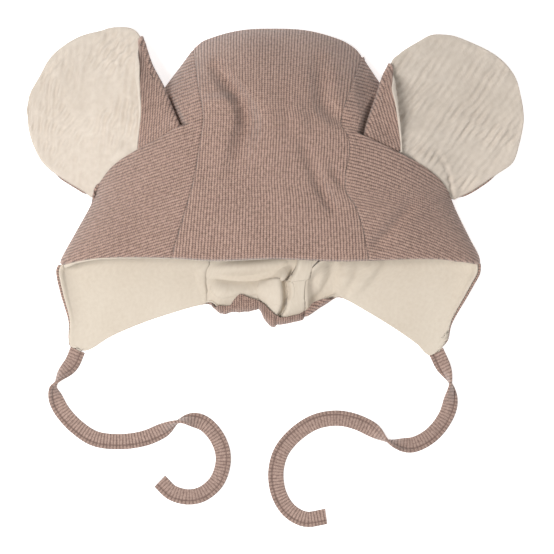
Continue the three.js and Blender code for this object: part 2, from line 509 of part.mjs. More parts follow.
// The whole hat as one welded sheet, with the panel of each face
function buildSheet() {
  const points = [];
  const faces = [];
  const addPoint = (x, y, z) => points.push(new THREE.Vector3(x, y, z)) - 1;
  const addQuad = (panel, a, b, c, d, tags = {}) => {
    const triangles = [[a, b, c], [a, c, d]];
    for (const face of triangles) {
      if (new Set(face).size === 3) faces.push({ panel, face, ...tags });
    }
  };

  const lastColumn = CENTER_COLUMNS.length - 1;
  const lastFold = FRONT_COLUMNS.length - 1;
  const lastBack = BACK_COLUMNS.length - 1;
  const crownAcross = (share) => lerp(LEFT.fold.at(-1).across, RIGHT.fold.at(-1).across, share);
  const columnCorner = (share) => lookUp(CROWN, 'across', 'along', crownAcross(share));

  // Middle strip over the front, from the forehead edge to the crown
  const center = [];
  for (let i = 0; i <= FRONT_ROWS; i += 1) {
    const row = ROWS[FRONT_ROWS - i];
    center.push(CENTER_COLUMNS.map((share) => {
      const leftX = edgeX(LEFT.frontSeam, placeY(row.seam * LEFT.corner));
      const rightX = edgeX(RIGHT.frontSeam, placeY(row.seam * RIGHT.corner));
      const x = i < FRONT_ROWS ? lerp(leftX, rightX, share) : placeX(crownAcross(share));
      const edge = lookUp(FOREHEAD, 'across', 'along', shareX(x));
      const y = i > 0 ? placeY(row.seam * columnCorner(share)) : placeY(edge);
      const z = i < FRONT_ROWS ? upperHeight(x, y) : FOLD_HEIGHT;
      return addPoint(x, y, z);
    }));
  }

  // A row of the lower sheet between two edges, given as curves x of y
  const mouthRow = (i, startY, bottomX) => {
    const roll = napeRoll(bottomX);
    const top = roll.start + NAPE_FLAT;
    if (i <= FRONT_ROWS + MOUTH_ROWS) {
      const y = lerp(startY, top, (i - FRONT_ROWS) / MOUTH_ROWS);
      return { y, flatY: y, lift: 0 };
    }
    const length = roll.length * ((i - FRONT_ROWS - MOUTH_ROWS) / ROLL_ROWS);
    return { ...rollPoint(roll, length), flatY: top - length };
  };

  // Middle strip down the back, from the crown to the nape
  const leftFoot = placeX(LEFT.backSeam[0].across);
  const rightFoot = placeX(RIGHT.backSeam[0].across);
  for (let i = 1; i <= BACK_ROWS; i += 1) {
    center.push(CENTER_COLUMNS.map((share) => {
      if (i <= FRONT_ROWS) {
        const back = ROWS[i].back;
        const leftX = edgeX(LEFT.backSeam, placeY(back * LEFT.corner));
        const rightX = edgeX(RIGHT.backSeam, placeY(back * RIGHT.corner));
        const x = lerp(leftX, rightX, share);
        const y = placeY(back * columnCorner(share));
        return addPoint(x, y, lowerHeight(x, y));
      }
      const bottomX = lerp(leftFoot, rightFoot, share);
      const row = mouthRow(i, placeY(0), bottomX);
      const leftX = edgeX(LEFT.backSeam, mouthRow(i, placeY(0), leftFoot).flatY);
      const rightX = edgeX(RIGHT.backSeam, mouthRow(i, placeY(0), rightFoot).flatY);
      const x = lerp(leftX, rightX, share);
      const z = row.lift > 0 ? row.lift : lowerHeight(x, row.y);
      return addPoint(x, row.y, z);
    }));
  }
  for (let i = 0; i < center.length - 1; i += 1) {
    for (let j = 0; j < lastColumn; j += 1) {
      addQuad('center', center[i][j], center[i][j + 1], center[i + 1][j + 1], center[i + 1][j]);
    }
  }

  // Side panels
  for (const side of [LEFT, RIGHT]) {
    const seat = earSeat(side);
    const seamColumn = side === LEFT ? 0 : lastColumn;
    const cornerId = center[FRONT_ROWS][seamColumn];
    const addSide = (a, b, c, d, tags) => {
      if (side === LEFT) addQuad('left', d, c, b, a, tags);
      else addQuad('right', a, b, c, d, tags);
    };

    const front = ROWS.map((row, i) => FRONT_COLUMNS.map((share, j) => {
      if (i === 0) return cornerId;
      if (j === 0) return center[FRONT_ROWS - i][seamColumn];
      const { x, y } = frontPlace(side, row, share);
      if (j === lastFold) return addPoint(x, y, FOLD_HEIGHT);
      const sunk = i < SLIT_ROW || (i === SLIT_ROW && j >= SLIT_COLUMNS[0] && j <= SLIT_COLUMNS[1]);
      return addPoint(x, y, sunk ? underEar(seat, x, y) : upperHeight(x, y));
    }));
    const lip = FRONT_COLUMNS.map((share, j) => {
      if (j < SLIT_COLUMNS[0] || j > SLIT_COLUMNS[1]) return front[SLIT_ROW][j];
      const { x, y } = frontPlace(side, ROWS[SLIT_ROW], share);
      return addPoint(x, y, upperHeight(x, y) + SLIT_LIP);
    });
    for (let i = 0; i < FRONT_ROWS; i += 1) {
      for (let j = 0; j < lastFold; j += 1) {
        const row = [front[i][j], front[i][j + 1], front[i + 1][j + 1], front[i + 1][j]];
        if (i !== SLIT_ROW) {
          addSide(row[0], row[3], row[2], row[1]);
        } else {
          addSide(lip[j], row[3], row[2], lip[j + 1], { layer: 'outer' });
          addSide(row[0], row[3], row[2], row[1], { layer: 'lining' });
        }
      }
    }

    const tip = side.flapEdge[0];
    const tipX = placeX(tip.across);
    const footX = placeX(side.backSeam[0].across);
    const back = [];
    for (let i = 0; i <= BACK_ROWS; i += 1) {
      back.push(BACK_COLUMNS.map((share, j) => {
        if (i === 0) return cornerId;
        if (j === lastBack) return center[FRONT_ROWS + i][seamColumn];
        if (j === 0 && i <= FRONT_ROWS) return front[i][lastFold];
        const seamEnd = points[center[FRONT_ROWS + Math.min(i, FRONT_ROWS)][seamColumn]];
        const foldEnd = points[front[Math.min(i, FRONT_ROWS)][lastFold]];
        const startY = lerp(foldEnd.y, seamEnd.y, share);
        if (i <= FRONT_ROWS) {
          const x = lerp(foldEnd.x, seamEnd.x, share);
          return addPoint(x, startY, lowerHeight(x, startY));
        }
        const row = mouthRow(i, startY, lerp(tipX, footX, share));
        const edgeRow = mouthRow(i, foldEnd.y, tipX);
        const seamRow = mouthRow(i, seamEnd.y, footX);
        const x = lerp(edgeX(side.flapEdge, edgeRow.flatY), edgeX(side.backSeam, seamRow.flatY), share);
        const z = row.lift > 0 ? row.lift : lowerHeight(x, row.y);
        return addPoint(x, row.y, z);
      }));
    }
    for (let i = 0; i < BACK_ROWS; i += 1) {
      for (let j = 0; j < lastBack; j += 1) {
        addSide(back[i][j], back[i + 1][j], back[i + 1][j + 1], back[i][j + 1]);
      }
    }
    side.seat = seat;
    side.slitRow = front[SLIT_ROW];
  }
  return { points, faces };
}

// Normals of the points of a sheet, weighted by the angle of each face
function sheetNormals(points, faces) {
  const normals = points.map(() => new THREE.Vector3());
  for (const face of faces) {
    const [a, b, c] = face.map((k) => points[k]);
    const normal = new THREE.Triangle(a, b, c).getNormal(new THREE.Vector3());
    face.forEach((k, n) => {
      const next = points[face[(n + 1) % 3]].clone().sub(points[k]);
      const before = points[face[(n + 2) % 3]].clone().sub(points[k]);
      normals[k].addScaledVector(normal, next.angleTo(before));
    });
  }
  return normals.map((normal) => normal.normalize());
}

const edgeKey = (a, b) => `${Math.min(a, b)}-${Math.max(a, b)}`;

// Directed edges that only one of the faces has
function boundaryOf(faces) {
  const count = new Map();
  for (const face of faces) {
    face.forEach((a, n) => {
      const key = edgeKey(a, face[(n + 1) % 3]);
      count.set(key, (count.get(key) ?? 0) + 1);
    });
  }
  const edges = [];
  for (const face of faces) {
    face.forEach((a, n) => {
      const b = face[(n + 1) % 3];
      if (count.get(edgeKey(a, b)) === 1) edges.push([a, b]);
    });
  }
  return edges;
}

// Moves the edge points of a piece into the piece, each edge by its own inset
function insetShifts(points, normals, edges, insetOf) {
  const sides = new Map();
  for (const [a, b] of edges) {
    const direction = points[b].clone().sub(points[a]).normalize();
    for (const k of [a, b]) {
      const inward = normals[k].clone().cross(direction).normalize();
      sides.set(k, [...(sides.get(k) ?? []), { inward, inset: insetOf(a, b) }]);
    }
  }
  const shifts = new Map();
  for (const [k, [first, second]] of sides) {
    const cosine = first.inward.dot(second.inward);
    const shift = new THREE.Vector3();
    if (cosine > STRAIGHT_COSINE) {
      const mean = (first.inset + second.inset) / 2;
      shift.add(first.inward).add(second.inward).normalize().multiplyScalar(mean);
    } else if (cosine > RETURN_COSINE) {
      const spread = 1 - cosine * cosine;
      shift.addScaledVector(first.inward, (first.inset - cosine * second.inset) / spread);
      shift.addScaledVector(second.inward, (second.inset - cosine * first.inset) / spread);
    }
    shifts.set(k, shift);
  }
  return shifts;
}

// A closed wall of cloth between two depths under a sheet
function cloth(points, normals, faces, shifts, top, bottom) {
  const used = [...new Set(faces.flat())];
  const index = new Map(used.map((k, n) => [k, n]));
  const positions = [];
  for (const depth of [top, bottom]) {
    for (const k of used) {
      const point = points[k].clone().addScaledVector(normals[k], -depth);
      if (shifts.has(k)) point.add(shifts.get(k));
      positions.push(...point.toArray());
    }
  }
  const triangles = [];
  for (const face of faces) {
    const [a, b, c] = face.map((k) => index.get(k));
    triangles.push(a, b, c, c + used.length, b + used.length, a + used.length);
  }
  for (const [from, to] of boundaryOf(faces)) {
    const a = index.get(from);
    const b = index.get(to);
    triangles.push(b, a, a + used.length, b, a + used.length, b + used.length);
  }
  const geometry = new THREE.BufferGeometry();
  geometry.setAttribute('position', new THREE.Float32BufferAttribute(positions, 3));
  geometry.setIndex(triangles);
  geometry.computeVertexNormals();
  return geometry;
}

// The outer cloth and the lining of the three panels
function buildPanels(sheet) {
  const pieces = {};
  for (const layer of ['outer', 'lining']) {
    const own = sheet.faces.filter((entry) => !entry.layer || entry.layer === layer);
    const points = sheet.points.map((point) => point.clone());
    if (layer === 'lining') {
      for (const side of [LEFT, RIGHT]) {
        const open = side.slitRow.slice(SLIT_COLUMNS[0], SLIT_COLUMNS[1] + 1);
        open.forEach((k, j) => { points[k].z -= LINING_SLACK * smooth(open.length - 1 - j, 0, LINING_SLACK_COLUMNS); });
      }
    }
    const faces = own.map((entry) => entry.face);
    const normals = sheetNormals(points, faces);
    const freeEdges = new Set(boundaryOf(faces).map(([a, b]) => edgeKey(a, b)));
    const freeInset = layer === 'lining' ? LINING_INSET : 0;
    const insetOf = (a, b) => (freeEdges.has(edgeKey(a, b)) ? freeInset : PIECE_GAP / 2);
    for (const panel of ['center', 'left', 'right']) {
      const panelFaces = own.filter((entry) => entry.panel === panel).map((entry) => entry.face);
      const shifts = insetShifts(points, normals, boundaryOf(panelFaces), insetOf);
      const top = layer === 'outer' ? 0 : LINING_TOP;
      const bottom = layer === 'outer' ? OUTER_CLOTH : LINING_TOP + LINING_CLOTH;
      pieces[`${layer}-${panel}`] = cloth(points, normals, panelFaces, shifts, top, bottom);
    }
  }
  return pieces;
}

// A smooth curve through the rows of an ear outline, read at equal lengths
function earCurve(table) {
  return new THREE.SplineCurve(table.map(({ base, rise }) => new THREE.Vector2(base, rise)));
}

// An ear: flat part, fold at its inner side and the part folded forward, as one grid of points
function buildEar(side, outline) {
  const seat = side.seat;
  const start = side === LEFT ? SLIT_START.left : SLIT_START.right;
  const curves = Object.fromEntries(Object.entries(outline).map(([name, rows]) => [name, earCurve(rows)]));
  const gapRise = EAR_SEAT_GAP / EAR_LENGTH;
  const slitPlace = (base) => {
    const spot = frontPlace(side, ROWS[SLIT_ROW], lerp(start, 1, clamp(base, 0, 1)));
    const local = toEar(seat, spot.x, spot.y);
    return new THREE.Vector2(local.base, local.rise + gapRise);
  };
  const foldRadius = (t) => lerp(PLEAT_RADIUS, EAR_FOLD_RADIUS, smooth(t, 0, EAR_FOLD_OPENING));
  const foldCenter = (t) => {
    const edge = curves.fold.getPointAt(t);
    if (t === 0) edge.copy(slitPlace(edge.x));
    return edge.add(new THREE.Vector2((foldRadius(t) + EAR_HALF) / seat.length, 0));
  };

  const top = (s) => curves.top.getPointAt(s);
  const outer = (t) => (t > 0 ? curves.outer.getPointAt(t) : slitPlace(outline.outer[0].base));
  const innerBase = foldCenter(0);
  const base = (s) => slitPlace(lerp(outer(0).x, innerBase.x, s));
  const flatPoint = (s, t) => {
    const across = outer(t).multiplyScalar(1 - s).add(foldCenter(t).multiplyScalar(s));
    const topBend = top(s).sub(top(0).multiplyScalar(1 - s)).sub(top(1).multiplyScalar(s));
    const baseBend = base(s).sub(base(0).multiplyScalar(1 - s)).sub(base(1).multiplyScalar(s));
    return across.add(topBend.multiplyScalar(t)).add(baseBend.multiplyScalar(1 - t));
  };
  const foldedPoint = (s, t) => {
    const border = t > 0 ? curves.border.getPointAt(t) : slitPlace(outline.border[0].base);
    const across = foldCenter(t).multiplyScalar(1 - s).add(border.multiplyScalar(s));
    const straight = lerp(innerBase.y, slitPlace(outline.border[0].base).y, s);
    const bend = slitPlace(lerp(innerBase.x, outline.border[0].base, s)).y - straight;
    return across.add(new THREE.Vector2(0, bend * (1 - t)));
  };

  const points = [];
  const rows = [];
  for (let i = 0; i <= EAR_ROWS; i += 1) {
    const t = i / EAR_ROWS;
    const radius = foldRadius(t);
    const row = [];
    const add = ({ x: b, y: r }, lift) => {
      const spot = fromEar(seat, b, r);
      row.push(points.push(new THREE.Vector3(spot.x, spot.y, earHeight(seat, spot.x, spot.y) + lift)) - 1);
    };
    for (const share of EAR_COLUMNS) add(flatPoint(share, t), 0);
    const pivot = fromEar(seat, foldCenter(t).x, foldCenter(t).y);
    const pivotHeight = earHeight(seat, pivot.x, pivot.y);
    for (let j = 1; j < EAR_ARC_COLUMNS; j += 1) {
      const angle = (Math.PI * j) / EAR_ARC_COLUMNS;
      const spot = fromEar(seat, foldCenter(t).x - (radius * Math.sin(angle)) / seat.length, foldCenter(t).y);
      const lift = radius * (1 - Math.cos(angle));
      row.push(points.push(new THREE.Vector3(spot.x, spot.y, pivotHeight + lift)) - 1);
    }
    for (let j = 0; j <= EAR_FOLDED_COLUMNS; j += 1) add(foldedPoint(j / EAR_FOLDED_COLUMNS, t), 2 * radius);
    rows.push(row);
  }
  const faces = [];
  for (let i = 0; i < EAR_ROWS; i += 1) {
    for (let j = 0; j < rows[0].length - 1; j += 1) {
      const quad = [rows[i][j], rows[i][j + 1], rows[i + 1][j + 1], rows[i + 1][j]];
      const turned = side === LEFT ? quad : quad.reverse();
      faces.push([turned[0], turned[1], turned[2]], [turned[0], turned[2], turned[3]]);
    }
  }
  const normals = sheetNormals(points, faces);
  const still = new Map();
  const half = PIECE_GAP / 2;
  return {
    front: cloth(points, normals, faces, still, -half - MUSLIN_CLOTH, -half),
    back: cloth(points, normals, faces, still, half, half + EAR_BACK_CLOTH),
  };
}

// A flat tie band that lies on the surface along its route, with its half turns
function buildTie(route, tip, twist) {
  const curve = new THREE.CatmullRomCurve3(
    route.map(([x, y]) => new THREE.Vector3(tip.x + x, tip.y + y, 0)), false, 'centripetal');
  const length = curve.getLength();
  const halfWidth = TIE_WIDTH / 2;
  const halfThickness = TIE_THICKNESS / 2;
  const section = [
    [-halfWidth, -halfThickness + TIE_EDGE], [-halfWidth + TIE_EDGE, -halfThickness],
    [halfWidth - TIE_EDGE, -halfThickness], [halfWidth, -halfThickness + TIE_EDGE],
    [halfWidth, halfThickness - TIE_EDGE], [halfWidth - TIE_EDGE, halfThickness],
    [-halfWidth + TIE_EDGE, halfThickness], [-halfWidth, halfThickness - TIE_EDGE],
  ];
  const positions = [];
  for (let i = 0; i <= TIE_STEPS; i += 1) {
    const share = lerp(TIE_START_GAP / length, 1, i / TIE_STEPS);
    const center = curve.getPointAt(share);
    const forward = curve.getTangentAt(share);
    const flat = new THREE.Vector3(0, 0, 1).cross(forward).normalize();
    const roll = Math.PI * lookUp(twist, 'share', 'turns', share);
    const widthAxis = flat.clone().multiplyScalar(Math.cos(roll)).add(new THREE.Vector3(0, 0, Math.sin(roll)));
    const thicknessAxis = forward.clone().cross(widthAxis);
    const lowest = Math.min(...section.map(([w, t]) => w * widthAxis.z + t * thicknessAxis.z));
    center.z = -lowest;
    for (const [w, t] of section) {
      positions.push(...center.clone().addScaledVector(widthAxis, w).addScaledVector(thicknessAxis, t).toArray());
    }
  }
  const sides = section.length;
  const triangles = [];
  for (let i = 0; i < TIE_STEPS; i += 1) {
    for (let k = 0; k < sides; k += 1) {
      const a = i * sides + k;
      const b = i * sides + ((k + 1) % sides);
      triangles.push(a, b, b + sides, a, b + sides, a + sides);
    }
  }
  for (let k = 1; k < sides - 1; k += 1) {
    const end = TIE_STEPS * sides;
    triangles.push(0, k + 1, k, end, end + k, end + k + 1);
  }
  const geometry = new THREE.BufferGeometry();
  geometry.setAttribute('position', new THREE.Float32BufferAttribute(positions, 3));
  geometry.setIndex(triangles);
  geometry.computeVertexNormals();
  return geometry;
}

const ribKnit = () => new THREE.MeshStandardMaterial({ color: 0xb0978b, roughness: 0.95, metalness: 0 });
const jersey = () => new THREE.MeshStandardMaterial({ color: 0xe4d7c7, roughness: 0.9, metalness: 0 });
const muslin = () => new THREE.MeshStandardMaterial({ color: 0xe0d3c3, roughness: 0.95, metalness: 0 });
const tieRib = () => new THREE.MeshStandardMaterial({ color: 0xa98f83, roughness: 0.95, metalness: 0 });

function addPiece(group, name, geometry, material) {
  const mesh = new THREE.Mesh(geometry, material);
  mesh.name = name;
  group.add(mesh);
}

const panels = buildPanels(buildSheet());
const leftEar = buildEar(LEFT, LEFT_EAR);
const rightEar = buildEar(RIGHT, RIGHT_EAR);
const tieSeat = ({ tie }) => ({ x: placeX(tie.across), y: placeY(tie.along) });

const bonnet = new THREE.Group();
addPiece(bonnet, 'center_panel', panels['outer-center'], ribKnit());
addPiece(bonnet, 'side_panel_left', panels['outer-left'], ribKnit());
addPiece(bonnet, 'side_panel_right', panels['outer-right'], ribKnit());

const lining = new THREE.Group();
addPiece(lining, 'lining_center', panels['lining-center'], jersey());
addPiece(lining, 'lining_left', panels['lining-left'], jersey());
addPiece(lining, 'lining_right', panels['lining-right'], jersey());

const ears = new THREE.Group();
addPiece(ears, 'ear_left_front', leftEar.front, muslin());
addPiece(ears, 'ear_left_back', leftEar.back, ribKnit());
addPiece(ears, 'ear_right_front', rightEar.front, muslin());
addPiece(ears, 'ear_right_back', rightEar.back, ribKnit());

const ties = new THREE.Group();
addPiece(ties, 'tie_left', buildTie(LEFT_ROUTE, tieSeat(LEFT), LEFT_TWIST), tieRib());
addPiece(ties, 'tie_right', buildTie(RIGHT_ROUTE, tieSeat(RIGHT), RIGHT_TWIST), tieRib());

const hat = new THREE.Group();
hat.add(bonnet, lining, ears, ties);

export default hat;
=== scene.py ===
# %% [markdown]
# # A baby hat with two round ears
# The real hat is a soft bag: a middle strip and two side panels of fine rib cloth, each with a jersey
# lining, two round ears and two flat ties. It lies on its back, with the mouth towards -Y. Each piece
# is a grid primitive whose points are laid out as the sewing pattern says, then given its thickness.

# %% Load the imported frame
import math

import bpy
import numpy as np
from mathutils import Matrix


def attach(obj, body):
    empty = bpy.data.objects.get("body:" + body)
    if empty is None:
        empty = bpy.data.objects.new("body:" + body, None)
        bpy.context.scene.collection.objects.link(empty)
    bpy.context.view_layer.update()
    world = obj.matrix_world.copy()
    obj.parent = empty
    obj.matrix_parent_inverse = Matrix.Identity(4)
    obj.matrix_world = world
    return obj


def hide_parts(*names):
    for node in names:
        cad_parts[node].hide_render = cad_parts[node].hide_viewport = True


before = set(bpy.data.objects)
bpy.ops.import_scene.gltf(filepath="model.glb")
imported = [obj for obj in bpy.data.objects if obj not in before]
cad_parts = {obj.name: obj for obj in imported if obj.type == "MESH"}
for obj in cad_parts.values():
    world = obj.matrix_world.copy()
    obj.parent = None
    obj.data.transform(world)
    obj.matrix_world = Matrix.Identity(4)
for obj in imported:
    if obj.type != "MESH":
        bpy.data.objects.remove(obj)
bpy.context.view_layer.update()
MM = 0.001

# %% [markdown]
# ## Camera
# The hat was seen from straight above and from far away, so a very long lens 3 m up keeps its sides
# as steep as they look there. The field is 304.7 mm wide on the surface.

# %% Camera
FIELD_WIDTH = 304.7 * MM
FIELD_CENTER = (3.85 * MM, -58.85 * MM)
CAMERA_HEIGHT = 3.0
bpy.ops.object.camera_add(location=(*FIELD_CENTER, CAMERA_HEIGHT), rotation=(0, 0, 0))
camera = bpy.context.object
camera.name = "camera"
camera.data.sensor_width = 36
camera.data.lens = camera.data.sensor_width * CAMERA_HEIGHT / FIELD_WIDTH
camera.data.clip_end = 10
bpy.context.scene.camera = camera
print("lens:", round(camera.data.lens), "mm")

# %% [markdown]
# ## The measured outline
# The cloth follows the outlines of the CAD frame: tables of shares of the hat's own lengths, read
# through a smooth curve. Across is in half brim widths; along is in front lengths above the forehead
# edge and in flap drops below it. All lengths in the shaping functions are millimetres.

# %% Sizes of the hat
BRIM_WIDTH = 230
FRONT_LENGTH = 128.7
FLAP_DROP = 48.4
LOFT = 50
FOLD_HEIGHT = 8
FOLD_ROUNDING = 12
FLAP_TIP_CURL = 1
HALF_BRIM = BRIM_WIDTH / 2
FOREHEAD_Y = -50.6
OUTER_CLOTH = 1.2
LINING_CLOTH = 1.0
LINING_TOP = 1.7

CROWN = [(-0.368, 0.906), (-0.311, 0.946), (-0.191, 0.983), (0, 0.996), (0.191, 0.985), (0.335, 0.949),
         (0.407, 0.909), (0.44, 0.874)]
FOREHEAD = [(-1.005, -0.009), (-0.813, 0.015), (-0.469, 0.013), (-0.263, 0.002), (0, 0.009),
            (0.287, 0), (0.469, 0.002), (0.813, 0.009), (1.005, -0.02)]
LEFT = {
    "sign": -1, "corner": 0.906, "tie": (-0.919, -0.997),
    "fold": [(-0.009, -1.005), (0.026, -0.99), (0.128, -0.926), (0.265, -0.843), (0.35, -0.815),
             (0.436, -0.766), (0.573, -0.651), (0.744, -0.502), (0.906, -0.368)],
    "front_seam": [(0.009, -0.467), (0.128, -0.43), (0.235, -0.393), (0.363, -0.356), (0.513, -0.329),
                   (0.607, -0.315), (0.731, -0.338), (0.906, -0.368)],
    "back_seam": [(-0.477, -0.3), (-0.32, -0.3), (-0.205, -0.304), (-0.09, -0.299), (-0.01, -0.286),
                  (0.179, -0.335), (0.436, -0.383), (0.692, -0.388), (0.906, -0.368)],
    "flap_edge": [(-0.991, -0.926), (-0.96, -0.956), (-0.874, -0.964), (-0.677, -0.964),
                  (-0.528, -0.98), (-0.357, -1.001), (-0.11, -1.021), (-0.009, -1.008)],
}
RIGHT = {
    "sign": 1, "corner": 0.876, "tie": (0.793, -1.01),
    "fold": [(-0.02, 1.005), (0.026, 0.997), (0.103, 0.952), (0.252, 0.872), (0.35, 0.836),
             (0.436, 0.785), (0.573, 0.676), (0.761, 0.526), (0.876, 0.44)],
    "front_seam": [(0.021, 0.467), (0.132, 0.443), (0.229, 0.407), (0.312, 0.354), (0.466, 0.378),
                   (0.53, 0.37), (0.588, 0.336), (0.748, 0.39), (0.876, 0.44)],
    "back_seam": [(-0.636, 0.166), (-0.466, 0.164), (-0.375, 0.163), (-0.261, 0.167), (-0.182, 0.177),
                  (-0.102, 0.201), (-0.023, 0.234), (0.179, 0.316), (0.436, 0.383), (0.692, 0.421),
                  (0.876, 0.44)],
    "flap_edge": [(-0.953, 0.832), (-0.884, 0.852), (-0.722, 0.867), (-0.617, 0.888),
                  (-0.42, 0.937), (-0.258, 0.975), (-0.131, 1.003), (-0.02, 1.007)],
}
# Nape edge from flap tip to flap tip: across, along, visible band of rolled cloth, half turns of roll
NAPE = [
    (-0.926, -0.991, 0, 0), (-0.871, -1.003, 0, 0), (-0.762, -0.848, 0, 0), (-0.607, -0.69, 0, 0),
    (-0.43, -0.552, 0, 0), (-0.33, -0.489, 0, 0), (-0.285, -0.487, 0, 0.3), (-0.268, -0.523, 0.034, 0.62),
    (-0.249, -0.568, 0.085, 0.93), (-0.225, -0.597, 0.097, 1), (-0.191, -0.576, 0.085, 0.97),
    (-0.167, -0.574, 0.159, 1), (-0.143, -0.574, 0.21, 1), (-0.105, -0.568, 0.17, 1),
    (-0.062, -0.545, 0.114, 1), (-0.043, -0.565, 0.108, 1), (-0.029, -0.642, 0.165, 1),
    (-0.01, -0.705, 0.182, 1), (0.019, -0.742, 0.159, 1), (0.038, -0.719, 0.097, 1),
    (0.072, -0.705, 0.074, 0.95), (0.12, -0.682, 0.072, 0.94), (0.153, -0.665, 0.085, 0.98),
    (0.172, -0.631, 0.08, 0.97), (0.201, -0.585, 0.119, 1), (0.23, -0.534, 0.094, 1),
    (0.263, -0.485, 0.057, 0.9), (0.297, -0.432, 0.017, 0.6), (0.32, -0.403, 0, 0.2),
    (0.359, -0.424, 0, 0), (0.433, -0.52, 0, 0), (0.58, -0.731, 0, 0), (0.702, -0.932, 0, 0),
    (0.761, -1.06, 0, 0), (0.832, -0.953, 0, 0),
]
PROFILE = [(-0.1, 0.7), (0, 0.74), (0.25, 0.88), (0.5, 1), (0.75, 1), (1, 0.92)]
FULLNESS = 2.4
CROWN_ROUNDING_FROM = 0.55


# %% Read the tables
def look_up(table, at, column=1):
    """Reads a column of a table at values of its first column, through a smooth curve."""
    rows = np.array(table, float)
    given, wanted = rows[:, 0], rows[:, column]
    last = len(rows) - 1
    value = np.clip(np.asarray(at, float), given[0], given[last])
    i = np.searchsorted(given[1:last], value, side="left")
    before = np.maximum(np.arange(last + 1) - 1, 0)
    after = np.minimum(np.arange(last + 1) + 1, last)
    slope = (wanted[after] - wanted[before]) / (given[after] - given[before])
    width = given[i + 1] - given[i]
    t = (value - given[i]) / width
    blend = t * t * (3 - 2 * t)
    start = t * (1 - t) ** 2 * width * slope[i]
    end = t * t * (1 - t) * width * slope[i + 1]
    return wanted[i] * (1 - blend) + wanted[i + 1] * blend + start - end


def lerp(a, b, t):
    return a + (b - a) * t


def smooth(value, low, high):
    t = np.clip((value - low) / (high - low), 0, 1)
    return t * t * (3 - 2 * t)


def rise_and_fall(value, rise, fall):
    """Comes up from 0 to 1 over the first pair of limits and goes back over the second."""
    return smooth(value, *rise) * (1 - smooth(value, *fall))


def place_x(across):
    return np.asarray(across) * HALF_BRIM


def place_y(along):
    along = np.asarray(along, float)
    return FOREHEAD_Y + along * np.where(along > 0, FRONT_LENGTH, FLAP_DROP)


def share_y(y):
    return (y - FOREHEAD_Y) / np.where(y > FOREHEAD_Y, FRONT_LENGTH, FLAP_DROP)


def edge_x(table, y):
    return place_x(look_up(table, share_y(y)))


def crown_y(x):
    return place_y(look_up(CROWN, x / HALF_BRIM))


print("hat height on the surface:", round(float(crown_y(0.0) - place_y(0.0)), 1), "mm")

# %% [markdown]
# ## Creases
# The hat is empty, so its cloth falls into long soft valleys from the crown down and gathers at the
# elastic of the nape. Each crease is a line with a width and a depth, which presses a rounded groove
# or ridge into the sheet. That follows a real crease more closely than a noise texture could.

# %% Creases of the upper sheet and the gathers of the nape
# Each crease is a line of points: across, along, half width in mm, height in mm
FRONT_FOLDS = [
    [(-0.277, 0.855, 5, 0), (-0.253, 0.816, 6, -4), (-0.215, 0.769, 6.5, -5.5), (-0.153, 0.701, 7, -7),
     (-0.115, 0.65, 7.5, -7.8), (-0.105, 0.573, 8.5, -7.5), (-0.134, 0.487, 9.5, -5.5),
     (-0.163, 0.393, 10, -3), (-0.177, 0.299, 10, 0)],
    [(-0.335, 0.675, 5, 0), (-0.277, 0.679, 5, 2.2), (-0.201, 0.682, 5, 3), (-0.129, 0.675, 4, 1.5)],
    [(0.225, 0.906, 5, 0), (0.239, 0.838, 8, -3.5), (0.244, 0.756, 8.5, -5), (0.253, 0.671, 8, -5),
     (0.292, 0.62, 7, -4), (0.34, 0.594, 6, -2)],
    [(0.12, 0.709, 7, 0), (0.134, 0.615, 7.5, 2.4), (0.143, 0.521, 7, 1.5), (0.158, 0.479, 6, 0)],
    [(0.1, 0.59, 6, 0), (0.148, 0.509, 6, -2), (0.201, 0.402, 5.5, -3), (0.244, 0.308, 5, -3.2),
     (0.292, 0.235, 4.5, -3), (0.335, 0.197, 4, 0)],
    [(0.277, 0.419, 3.5, 0), (0.301, 0.385, 4, -2.6), (0.34, 0.333, 4, -2.6), (0.359, 0.299, 3.5, 0)],
    [(0.469, 0.051, 5, 0), (0.517, 0.081, 5.5, -3), (0.598, 0.158, 5.5, -3.4), (0.66, 0.231, 5, -2.2),
     (0.689, 0.274, 5, 0)],
    [(0.5, 0.56, 6, 0), (0.488, 0.615, 8, -4.5), (0.469, 0.714, 9, -5.5), (0.45, 0.799, 7, -2)],
    [(0.39, 0.7, 5, 0), (0.4, 0.78, 6, 1.5), (0.37, 0.86, 6, 0)],
    [(-0.038, 0.726, 9, 0), (0.01, 0.641, 10, 1.8), (0.019, 0.479, 11, 1.8), (-0.01, 0.308, 10, 0)],
]
# Soft waves of the outer cloth under the gathers
NAPE_FOLDS = [
    [(-0.278, -0.057, 8, 1.4), (-0.072, -0.09, 8, 1.6), (0.144, -0.045, 8, 1.2)],
    [(-0.263, -0.318, 8, 1.6), (-0.12, -0.364, 8, 1.6), (0.048, -0.33, 8, 1.4)],
    [(0.239, -0.09, 6.9, 1), (0.23, -0.43, 6.9, 1)],
    [(0.44, -0.034, 9.2, 1.2), (0.311, -0.34, 9.2, 1.2)],
]
# Ridges that the lining is gathered into, above the outer cloth
GATHERS = [
    [(-0.268, -0.08, 2.4, 0.4), (-0.191, -0.074, 3.6, 2), (-0.096, -0.063, 3.8, 2.2),
     (0, -0.034, 3.2, 1.6), (0.062, -0.011, 3, 1)],
    [(-0.33, 0.017, 1.5, 1), (-0.327, -0.068, 1.6, 1.8), (-0.327, -0.205, 1.6, 1.8),
     (-0.318, -0.341, 1.5, 0.6)],
    [(0.253, 0, 4.2, 2.4), (0.239, -0.159, 4.2, 2.6), (0.22, -0.295, 3.6, 1.6), (0.201, -0.409, 3, 0.6)],
    [(0.378, 0.017, 5.5, 2.6), (0.363, -0.159, 5, 2.4), (0.325, -0.341, 3.6, 1)],
    [(0.512, 0, 4.5, 2), (0.44, -0.227, 4.5, 2.2), (0.392, -0.364, 3.6, 1)],
]
